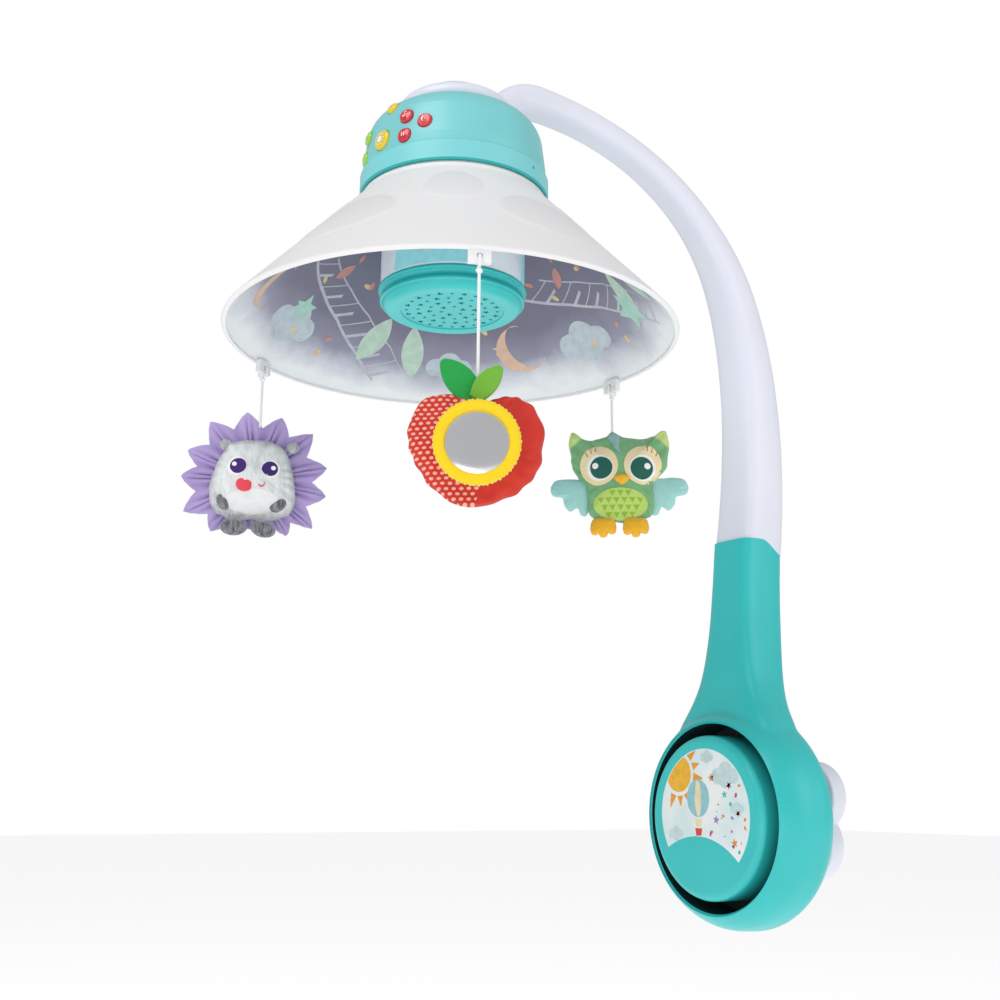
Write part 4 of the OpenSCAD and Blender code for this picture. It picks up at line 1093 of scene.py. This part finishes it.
def apple_cloth():
    m = Mat("apple_cloth", (0.70, 0.03, 0.015), 0.82, Sheen_Weight=0.08)
    _, across, up = m.axes()
    row = m.math("MULTIPLY", up, 1 / DOT_ROW)
    odd = m.math("MULTIPLY", m.math("MODULO", m.math("FLOOR", row), 2.0), 0.5)
    col = m.math("ADD", m.math("MULTIPLY", across, 1 / DOT_PITCH), odd)
    fr, fc = (m.math("SUBTRACT", m.math("FRACT", f), 0.5) for f in (row, col))
    dist = m.math("SQRT", m.math("ADD", m.math("MULTIPLY", fr, fr), m.math("MULTIPLY", fc, fc)))
    dots = m.ramp(dist, [(0.26, (1, 1, 1)), (0.33, (0, 0, 0))])
    red = m.mix(m.noise(80, 5), (0.46, 0.012, 0.008), (0.70, 0.038, 0.014))
    wave = m.math("MULTIPLY", m.math("SINE", m.math("MULTIPLY", up, 95)), 0.0025)
    seam_at = m.math("MULTIPLY_ADD", m.math("ADD", across, wave), 400, 0.5)
    left = m.ramp(seam_at, [(0.48, (1, 1, 1)), (0.52, (0, 0, 0))])
    m.colour(m.mix(m.mix(1.0, left, dots, "MULTIPLY"), red, (0.86, 0.42, 0.33)))
    m.bump(m.noise(1500, 3, 0.7), 0.00010, 0.7)
    return m.mat


apple = pillow("apple_cushion", APPLE, (0, 195), 29, apple_cloth(), fullness=2.6, pucker=0.9, pleats=17, sim=True)
hang(apple, "apple", ["apple_body"], "apple_red")
FELT_YELLOW = fabric("felt_yellow", (0.93, 0.66, 0.005), 0.85, 1300, 0.00015)
MIRROR = Mat("mirror_film_look", (0.82, 0.83, 0.85), 0.12, Metallic=1.0)
MIRROR.rough(MIRROR.noise(30, 2), 0.08, 0.20)
MIRROR.bump(MIRROR.noise(28, 2), 0.0003, 0.25)
RING_Z, RING_ROUND = 194.4, 288
RING_PROFILE = [(17.4, 12.6), (17.4, 16.6), (18.2, 17.3), (20.4, 17.5), (22.4, 17.1), (23.3, 16.0), (23.2, 12.6)]


def felt_ring(name):
    """Felt ring round the mirror with an edge cut in small waves."""
    verts, faces, m, rows = [], [], RING_ROUND, len(RING_PROFILE)
    for r, x in RING_PROFILE:
        for i in range(m):
            a = 2 * math.pi * i / m
            cut_edge = r + (0.28 * math.sin(61 * a) + 0.2 * math.sin(37 * a + 1) if r > 20.5 else 0.0)
            verts.append((x * MM, cut_edge * math.cos(a) * MM, (RING_Z + cut_edge * math.sin(a)) * MM))
    for j in range(rows):
        k = (j + 1) % rows
        faces += [(j * m + i, j * m + (i + 1) % m, k * m + (i + 1) % m, k * m + i) for i in range(m)]
    return outward(new_object(name, verts, faces, FELT_YELLOW))


hang(felt_ring("apple_ring_felt"), "apple", ["apple_ring"], "ring_yellow")
glass = lathe("apple_mirror_disc", [(0, 12.6), (17.6, 12.6), (17.6, 14.9), (16.8, 15.2), (9, 15.6), (0, 15.7)],
              MIRROR.mat, axis="X", at=(0, 0, RING_Z), n=96, closed=False)
sharpen(glass, 40)
hang(glass, "apple", ["apple_mirror"], "mirror_film")


def leaf_sheet(name, root, tip, width, x, material, curl=2.5, n=28, w=12):
    """Two-ply felt leaf with a soft fold along its middle."""
    a, b = np.array(root, float), np.array(tip, float)
    length = np.linalg.norm(b - a)
    d = (b - a) / length
    side = np.array([-d[1], d[0]])
    verts = []
    for i in range(n + 1):
        t = i / n
        half = width / 2 * (math.sin(math.pi * min(1, 0.10 + 0.90 * t)) ** 0.62 if t < 1 else 0.02)
        for j in range(w + 1):
            s = -1 + 2 * j / w
            q = a + d * length * t + side * half * s
            verts.append((x + curl * math.sin(math.pi * t) * 0.5 + 0.9 * s * s, q[0], q[1]))
    corners = [i * (w + 1) + j for i in range(n) for j in range(w)]
    faces = [(k, k + 1, k + w + 2, k + w + 1) for k in corners]
    o = new_object(name, [[q * MM for q in v] for v in verts], faces, material)
    with_modifier(o, "SOLIDIFY", thickness=0.0016, offset=0)
    with_modifier(o, "SUBSURF", levels=1, render_levels=1)
    return apply_modifiers(o)


FELT_DARK = fabric("felt_dark_green", (0.010, 0.36, 0.060), 0.75, 1300, 0.00012)
FELT_LIGHT = fabric("felt_light_green", (0.17, 0.46, 0.040), 0.8, 1300, 0.00012)
dark_leaf = leaf_sheet("apple_leaf_dark", (-1, 221.5), (-19.5, 243.5), 16.5, 2.4, FELT_DARK)
hang(dark_leaf, "apple", ["apple_leaves"], "leaf_green")
light_leaf = leaf_sheet("apple_leaf_light", (-1.5, 221), (12.5, 239.5), 12.5, 4.8, FELT_LIGHT)
hang(light_leaf, "apple", (), "leaf_green")

# Owl
OWL = [(-30, 272), (-22.6, 266.7), (-14.7, 265.4), (-5.4, 268), (0.3, 271.6), (9.1, 267.4), (22.4, 266.1),
       (31.7, 268.7), (38.3, 272.2), (40.9, 264.8), (40.3, 250.2), (38.3, 242.2), (31.6, 235), (28.3, 229.6),
       (30.3, 219.7), (29, 210.4), (23.7, 205.8), (14.4, 203.8), (3.8, 203.1), (-9.4, 204.5), (-17.3, 209.1),
       (-18, 219.7), (-19.3, 229), (-25.3, 236.9), (-29.9, 246.2), (-30.6, 252.9), (-31.9, 263.5)]
OWL_PATCHES = ((-9.6, 244.2, 13.6, 14.6, 8), (21.6, 244.2, 13.4, 14.4, -8))
OWL_EYES = ((-8.8, 242.3, 9.5), (21.4, 241.6, 9.5))
OWL_IRISES = ((-7.9, 242.0, 8.0), (20.8, 241.4, 8.0))
OWL_GLINTS = ((-12.2, 243.3, 2.2), (24.8, 242.8, 2.2))
OWL_LASHES = ((-18, 250.6, -1.6), (-15, 252.6, -1.0), (-12, 254, -0.4), (24.5, 254, 0.2), (27.6, 252.8, 0.8),
              (30.6, 250.8, 1.4))
OWL_TUFT = [(-4.5, 266), (0.4, 270.8), (5.4, 266.5), (4.8, 258), (6.2, 251.5), (1.5, 257), (-1, 262)]
BELLY_U, BELLY_V, BELLY_W, BELLY_H = 5.4, 216.0, 19.4, 11.2
BEAK = [(1.0, 235.4), (6.6, 237.4), (12.2, 235.4), (11.4, 232.2), (6.6, 229.2), (1.8, 232.2)]
BEAK_MID = (6.6, 233.8)
WING = [(-18, 233), (-30, 236.5), (-41, 235.6), (-45.2, 230), (-43.5, 224), (-36.5, 222), (-34.8, 216),
        (-30.5, 211.8), (-25.5, 214.5), (-22.5, 208.8), (-17.5, 211)]
OWL_MIDDLE, WING_V = 4.5, 224
FOOT = [(-7.2, 206.3), (0, 207.0), (7.2, 206.3), (9.6, 201.0), (9.0, 195.8), (6.0, 194.4), (3.9, 195.6), (2.0, 192.6),
        (-1.8, 192.3), (-3.8, 195.0), (-6.0, 193.8), (-8.8, 195.2), (-9.6, 200.4)]
FOOT_AT, FOOT_V = (-7.0, 16.0), 200


def owl_cloth():
    """Green plush with lime ears."""
    m = Mat("owl_plush", (0.13, 0.37, 0.14), 0.9, Sheen_Weight=0.35, Sheen_Roughness=0.5)
    _, across, up = m.axes()
    from_middle = m.math("ABSOLUTE", m.math("SUBTRACT", across, OWL_MIDDLE * MM))
    ear_at = m.math("MULTIPLY_ADD", from_middle, 100, m.math("MULTIPLY_ADD", up, 130, -36.90))
    ear = m.ramp(ear_at, black_white(0.0, 0.35))
    green = m.mix(m.noise(70, 5, 0.6), (0.115, 0.32, 0.145), (0.25, 0.53, 0.25))
    m.colour(m.mix(ear, green, (0.55, 0.70, 0.22)))
    m.bump(m.noise(1400, 3, 0.7), 0.00012, 0.7)
    m.bump(m.noise(300, 3), 0.0003, 0.35)
    return m.mat


def belly_triangles(pitch=5.6, drop=4.9):
    """Rows of triangles, every other row moved by half a step, inside the belly's oval."""
    out = []
    for j in range(4):
        for i in range(7):
            u, v = BELLY_U + (i - 3 + (0.5 if j % 2 else 0)) * pitch, 223.3 - j * drop
            if ((u - BELLY_U) / 16.8)**2 + ((v - BELLY_V) / 9.4)**2 < 1:
                out.append(patch([(u - 2.2, v + 1.8), (u + 2.2, v + 1.8), (u, v - 2.0)], (u, v + 0.5), 2))
    return out


owl = pillow("owl_cushion", OWL, (OWL_MIDDLE, 238), 27, owl_cloth(), pleats=23, sim=True)
FACES["owl"] = (front_of(owl), "owl_green")
hang(owl, "owl", ["owl_body"], "owl_green")
CREAM = fabric("print_cream", (0.90, 0.75, 0.45), 0.86, 1600, 0.00006, 0.15)
EYE_WHITE = fabric("print_eye_white", (0.90, 0.90, 0.88), 0.93, 1600, 0.00004, 0.1)
IRIS = fabric("print_iris", (0.012, 0.12, 0.09), 0.7, 1600, 0.00004, 0.1)
PURPLE = fabric("print_pupil", (0.050, 0.012, 0.17), 0.7, 1600, 0.00004, 0.1)
LIME_CLOTH = fabric("print_lime", (0.50, 0.68, 0.16), 0.85, 1600, 0.00006, 0.2)
DARK_LIME = fabric("print_dark_lime", (0.28, 0.50, 0.04), 0.85, 1600, 0.00006, 0.2)
ORANGE = fabric("felt_orange", (0.90, 0.48, 0.02), 0.75, 1300, 0.00012)
SKY = fabric("print_tuft", (0.30, 0.52, 0.52), 0.8, 1600, 0.00006, 0.2)
LASH = fabric("print_lash", (0.30, 0.12, 0.04), 0.8, 1600, 0.00004, 0.1)
WING_CLOTH = fabric("felt_aqua", (0.33, 0.70, 0.64), 0.70, 1400, 0.00012, tint=(0.50, 0.74, 0.76))
sewn("owl_face_patches", [oval(*place) for place in OWL_PATCHES], "owl", CREAM, 0.25)
sewn("owl_eye_white", blobs(OWL_EYES, 6), "owl", EYE_WHITE, 0.5)
sewn("owl_iris", blobs(OWL_IRISES, 6), "owl", IRIS, 0.7)
sewn("owl_highlight", blobs(OWL_GLINTS), "owl", EYE_WHITE, 0.9)
sewn("owl_lashes", [strip([(u, v), (u + du, v + 3.6)], [(u + 0.7, v), (u + du + 0.3, v + 3.6)], 1)
                    for u, v, du in OWL_LASHES], "owl", LASH, 0.5)
sewn("owl_tuft", [patch(OWL_TUFT, (1.8, 262), 5)], "owl", SKY, 0.45)
sewn("owl_belly", [oval(BELLY_U, BELLY_V, BELLY_W, BELLY_H, n=40)], "owl", LIME_CLOTH, 0.4)
sewn("owl_belly_triangles", belly_triangles(), "owl", DARK_LIME, 0.6)
stuffed("owl_beak", BEAK, BEAK_MID, 6.5, ORANGE, "owl", (), "foot_orange", n=48, rings=6, pucker=0,
        x0=FACES["owl"][0](*BEAK_MID, 0)[0] - 0.3)
for tag, sign in (("left", 1), ("right", -1)):
    outline = WING if sign == 1 else [(2 * OWL_MIDDLE - u, v) for u, v in WING[::-1]]
    stuffed("owl_wing_" + tag, outline, (-27 if sign == 1 else 36, WING_V), 7, WING_CLOTH, "owl",
            ["owl_wings"] if sign == 1 else (), "wing_aqua", n=112, rings=10, pucker=0.25, pleats=13)
for k, at in enumerate(FOOT_AT):
    stuffed("owl_foot_%d" % (k + 1), [(u + at, v) for u, v in FOOT], (at, FOOT_V), 8.5, ORANGE, "owl",
            ["owl_feet"] if k == 0 else (), "foot_orange", n=96, rings=8, pucker=0.2, x0=3.5)

# Hedgehog
HOG = [(-19, 250.5), (-3, 252.7), (11.3, 250.5), (19.7, 244), (24, 232.7), (26.1, 222.9), (26.8, 211.6), (24, 201.7),
       (14.1, 196.8), (-2.8, 195.8), (-19.7, 196.8), (-28.9, 201.7), (-32.1, 211.6), (-31.7, 222.9), (-28.9, 234.2),
       (-24.7, 242.6)]
HOG_MIDDLE = -2.8
HOG_EYES = ((-13.6, 229.6, 6.5), (8.6, 228.8, 6.5))
HOG_PUPILS = ((-13.0, 229.6, 5.5), (8.2, 228.8, 5.5))
HOG_GLINTS = ((-15.6, 231.0, 1.6), (10.6, 229.4, 1.6))
SMILE = [(1.0, 216.8), (3.0, 215.6), (4.9, 216.6), (5.6, 219.0)]
NOSE_AT = (-8.0, 217.6)
# Place, half sizes and turn of each paw, and for the feet how far forward they sit
PAWS = ((-22.0, 206.4, 6.4, 4.6, -60, None, 7), (14.8, 204.6, 6.4, 4.6, 38, None, 7),
        (-14.0, 189.2, 9.4, 6.0, 2, 7.0, 11), (5.6, 188.2, 9.0, 5.8, -12, 8.5, 11))
EARS, EAR_V = (-22.3, 23.2), 247.3
STROKES = (1, 1, 0.16)


def hedgehog_cloth():
    """Pale front with grey strokes at the sides and the brow."""
    m = Mat("hedgehog_plush", (0.30, 0.30, 0.33), 0.92, Sheen_Weight=0.4, Sheen_Roughness=0.5)
    forward, _, up = m.axes()
    strokes = m.noise(420, 5, 0.72, stretch=STROKES)
    edge = m.ramp(m.math("MULTIPLY_ADD", forward, 85, 0.0), black_white(0.15, 0.85))
    brow = m.ramp(m.math("MULTIPLY_ADD", up, 90, -21.8), black_white(0.25, 0.75))
    stroke_mask = m.ramp(strokes, black_white(0.38, 0.62))
    grey = m.mix(stroke_mask, (0.24, 0.25, 0.27), (0.48, 0.49, 0.52))
    pale = m.mix(stroke_mask, (0.64, 0.67, 0.67), (0.77, 0.79, 0.79))
    m.colour(m.mix(brow, m.mix(edge, grey, pale), grey))
    m.bump(strokes, 0.0003, 0.6)
    m.bump(m.noise(1900, 2), 0.0001, 0.6)
    return m.mat


hog = pillow("hedgehog_cushion", HOG, (HOG_MIDDLE, 223), 34, hedgehog_cloth(), fullness=3.0, pucker=0.4, pleats=21,
             sim=True)
FACES["hedgehog"] = (front_of(hog), "plush_grey")
hang(hog, "hedgehog", ["hedgehog_body"], "plush_grey")
GREY_PAW = fur("paw_fur", (0.060, 0.062, 0.070), (0.26, 0.27, 0.30))
WHITE_FUR = fabric("belly_white", (0.80, 0.81, 0.82), 0.9, 1600, 0.0001, 0.3)
NOSE = fabric("nose_red", (0.80, 0.06, 0.09), 0.8, 1500, 0.00006, 0.3)
GREY_EAR = fur("ear_fur", (0.26, 0.27, 0.29), (0.50, 0.52, 0.54))
sewn("hedgehog_belly", [oval(HOG_MIDDLE, 206.6, 18.0, 8.0, n=40)], "hedgehog", WHITE_FUR, 0.3)
sewn("hedgehog_eye_white", blobs(HOG_EYES, 5), "hedgehog", EYE_WHITE, 0.4)
sewn("hedgehog_pupil", blobs(HOG_PUPILS, 5), "hedgehog", PURPLE, 0.6)
sewn("hedgehog_highlight", blobs(HOG_GLINTS), "hedgehog", EYE_WHITE, 0.8)
sewn("hedgehog_smile", [band(SMILE, 0.4)], "hedgehog", NOSE, 0.5)
hog_face = FACES["hedgehog"][0]
stuffed("hedgehog_nose", ellipse(*NOSE_AT, 6.3, 5.3, 0, 16), NOSE_AT, 7, NOSE, "hedgehog", (), "paw_grey",
        n=48, rings=8, pucker=0, x0=hog_face(*NOSE_AT, 0)[0] - 0.5)
for k, (u, v, rx, ry, spin, x0, thick) in enumerate(PAWS):
    if x0 is None:
        x0 = hog_face(u, v, 0)[0] - 1.0
    stuffed("hedgehog_paw_%d" % (k + 1), ellipse(u, v, rx, ry, spin, 16), (u, v), thick, GREY_PAW, "hedgehog",
            ["hedgehog_paws"] if k == 0 else (), "paw_grey", n=64, rings=8, pucker=0.15, x0=x0)
for k, u in enumerate(EARS):
    stuffed("hedgehog_ear_%d" % (k + 1), ellipse(u, EAR_V, 4.8, 4.3, 0, 16), (u, EAR_V), 5, GREY_EAR, "hedgehog",
            (), "plush_grey", n=48, rings=6, pucker=0.1, x0=3.5)

# The mane: a pleated ruffle with a point for each of its petals
TIPS = [(-9.2, 273.5), (14.8, 270.8), (36.7, 260.2), (47.2, 236.2), (47.2, 215.7), (38.8, 192.9), (21.2, 186.9),
        (-1, 190), (-29.6, 187.9), (-48.6, 201), (-51.5, 225.7), (-48, 244), (-34.1, 265.1)]
PETALS, MANE_MIDDLE, MANE_ROOT, VALLEY, BULGE = len(TIPS), np.array([HOG_MIDDLE, 224.0]), 24.0, 0.80, 1.4
RIM, STEPS, MANE_X = PETALS * 28, 22, -4.5


def mane_cloth():
    m = Mat("mane_satin", (0.36, 0.24, 0.58), 0.55, Sheen_Weight=0.5, Sheen_Roughness=0.35)
    # The fold valleys near the root are painted darker and pinker: painted shade in the creases
    fold_shade_mask = m.ramp(m.attribute("crease"), black_white(0.30, 0.75))
    lilac = m.mix(m.noise(60, 4), (0.34, 0.25, 0.54), (0.50, 0.39, 0.70))
    m.colour(m.mix(fold_shade_mask, lilac, (0.50, 0.13, 0.38)))
    m.bump(m.noise(1700, 2), 0.00006, 0.6)
    return m.mat


def mane_edge(s):
    """Root and tip of the ruffle where it has gone s petals round."""
    k, t = int(s), s - int(s)
    a, b = np.array(TIPS[k]), np.array(TIPS[(k + 1) % PETALS])
    valley = MANE_MIDDLE + ((a + b) / 2 - MANE_MIDDLE) * VALLEY
    w = t * 2 if t < 0.5 else 2 - t * 2
    start = a if t < 0.5 else b
    tip = start + (valley - start) * w ** 1.15
    out = (tip - MANE_MIDDLE) / np.linalg.norm(tip - MANE_MIDDLE)
    tip = tip + out * BULGE * math.sin(math.pi * w)
    return MANE_MIDDLE + (tip - MANE_MIDDLE) / np.linalg.norm(tip - MANE_MIDDLE) * MANE_ROOT, tip


verts, fold_shade = [], []
for i in range(RIM):
    s = i * PETALS / RIM
    root, tip = mane_edge(s)
    fold = math.sin(2 * math.pi * 3 * s + 0.9 * math.sin(2 * math.pi * s))
    sharp = math.copysign(abs(fold) ** 0.6, fold)
    for j in range(STEPS + 1):
        q = j / STEPS
        p = root + (tip - root) * q
        x = MANE_X + 2.0 * sharp * (1 - q) ** 0.8 * min(1, q * 6 + 0.3) + 1.0 * math.sin(2 * math.pi * s) * q
        verts.append((x * MM, p[0] * MM, p[1] * MM))
        # Painted shade: strongest in the fold valleys next to the root
        fold_shade.append(max(0, -fold) ** 2.2 * max(0, 1 - q * 1.5) * 1.15)
faces = []
for i in range(RIM):
    for j in range(STEPS):
        a, b = i * (STEPS + 1) + j, ((i + 1) % RIM) * (STEPS + 1) + j
        faces.append((a, b, b + 1, a + 1))
mane = new_object("hedgehog_mane_ruffle", verts, faces, mane_cloth())
mane.data.attributes.new("crease", "FLOAT", "POINT").data.foreach_set("value", fold_shade)
with_modifier(mane, "SOLIDIFY", thickness=0.0014, offset=0)
apply_modifiers(mane)
sharpen(mane, 60)
hang(mane, "hedgehog", ["hedgehog_mane"], "mane_lilac")

# ---------------------------------------------------------------- floor and light
FLOOR = Mat("floor_pale", (0.90, 0.90, 0.90), 0.9, Emission_Color=(1, 1, 1, 1), Emission_Strength=0.45)
FLOOR.bump(FLOOR.noise(30, 2), 0.0002, 0.1)
FLOOR_Z, FLOOR_HALF = -0.30, 9.0
floor = new_object("floor", [(-FLOOR_HALF, -FLOOR_HALF, FLOOR_Z), (FLOOR_HALF, -FLOOR_HALF, FLOOR_Z),
                             (FLOOR_HALF, FLOOR_HALF, FLOOR_Z), (-FLOOR_HALF, FLOOR_HALF, FLOOR_Z)],
                   [(0, 1, 2, 3)], FLOOR.mat)
# A white studio to the eye that lights the object at about half of that strength
world = bpy.data.worlds.new("studio")
world.use_nodes = True
wn, wl = world.node_tree.nodes, world.node_tree.links
seen = wn.new("ShaderNodeLightPath")
strength = wn.new("ShaderNodeMapRange")
strength.inputs["To Min"].default_value, strength.inputs["To Max"].default_value = 0.52, 1.0
wl.new(seen.outputs["Is Camera Ray"], strength.inputs["Value"])
wl.new(strength.outputs[0], wn["Background"].inputs["Strength"])
wn["Background"].inputs["Color"].default_value = (1, 1, 1, 1)
bpy.context.scene.world = world
area_light("key", (1.5, 0.5, 1.6), (0.15, 0, 0.25), 1.2, 13)
area_light("fill", (-0.6, 1.6, 0.7), (0.15, 0, 0.25), 1.4, 5)
area_light("low", (0.9, 0.7, -0.25), (0.25, 0, 0.35), 0.9, 2)
bpy.context.scene.view_settings.view_transform = "Standard"
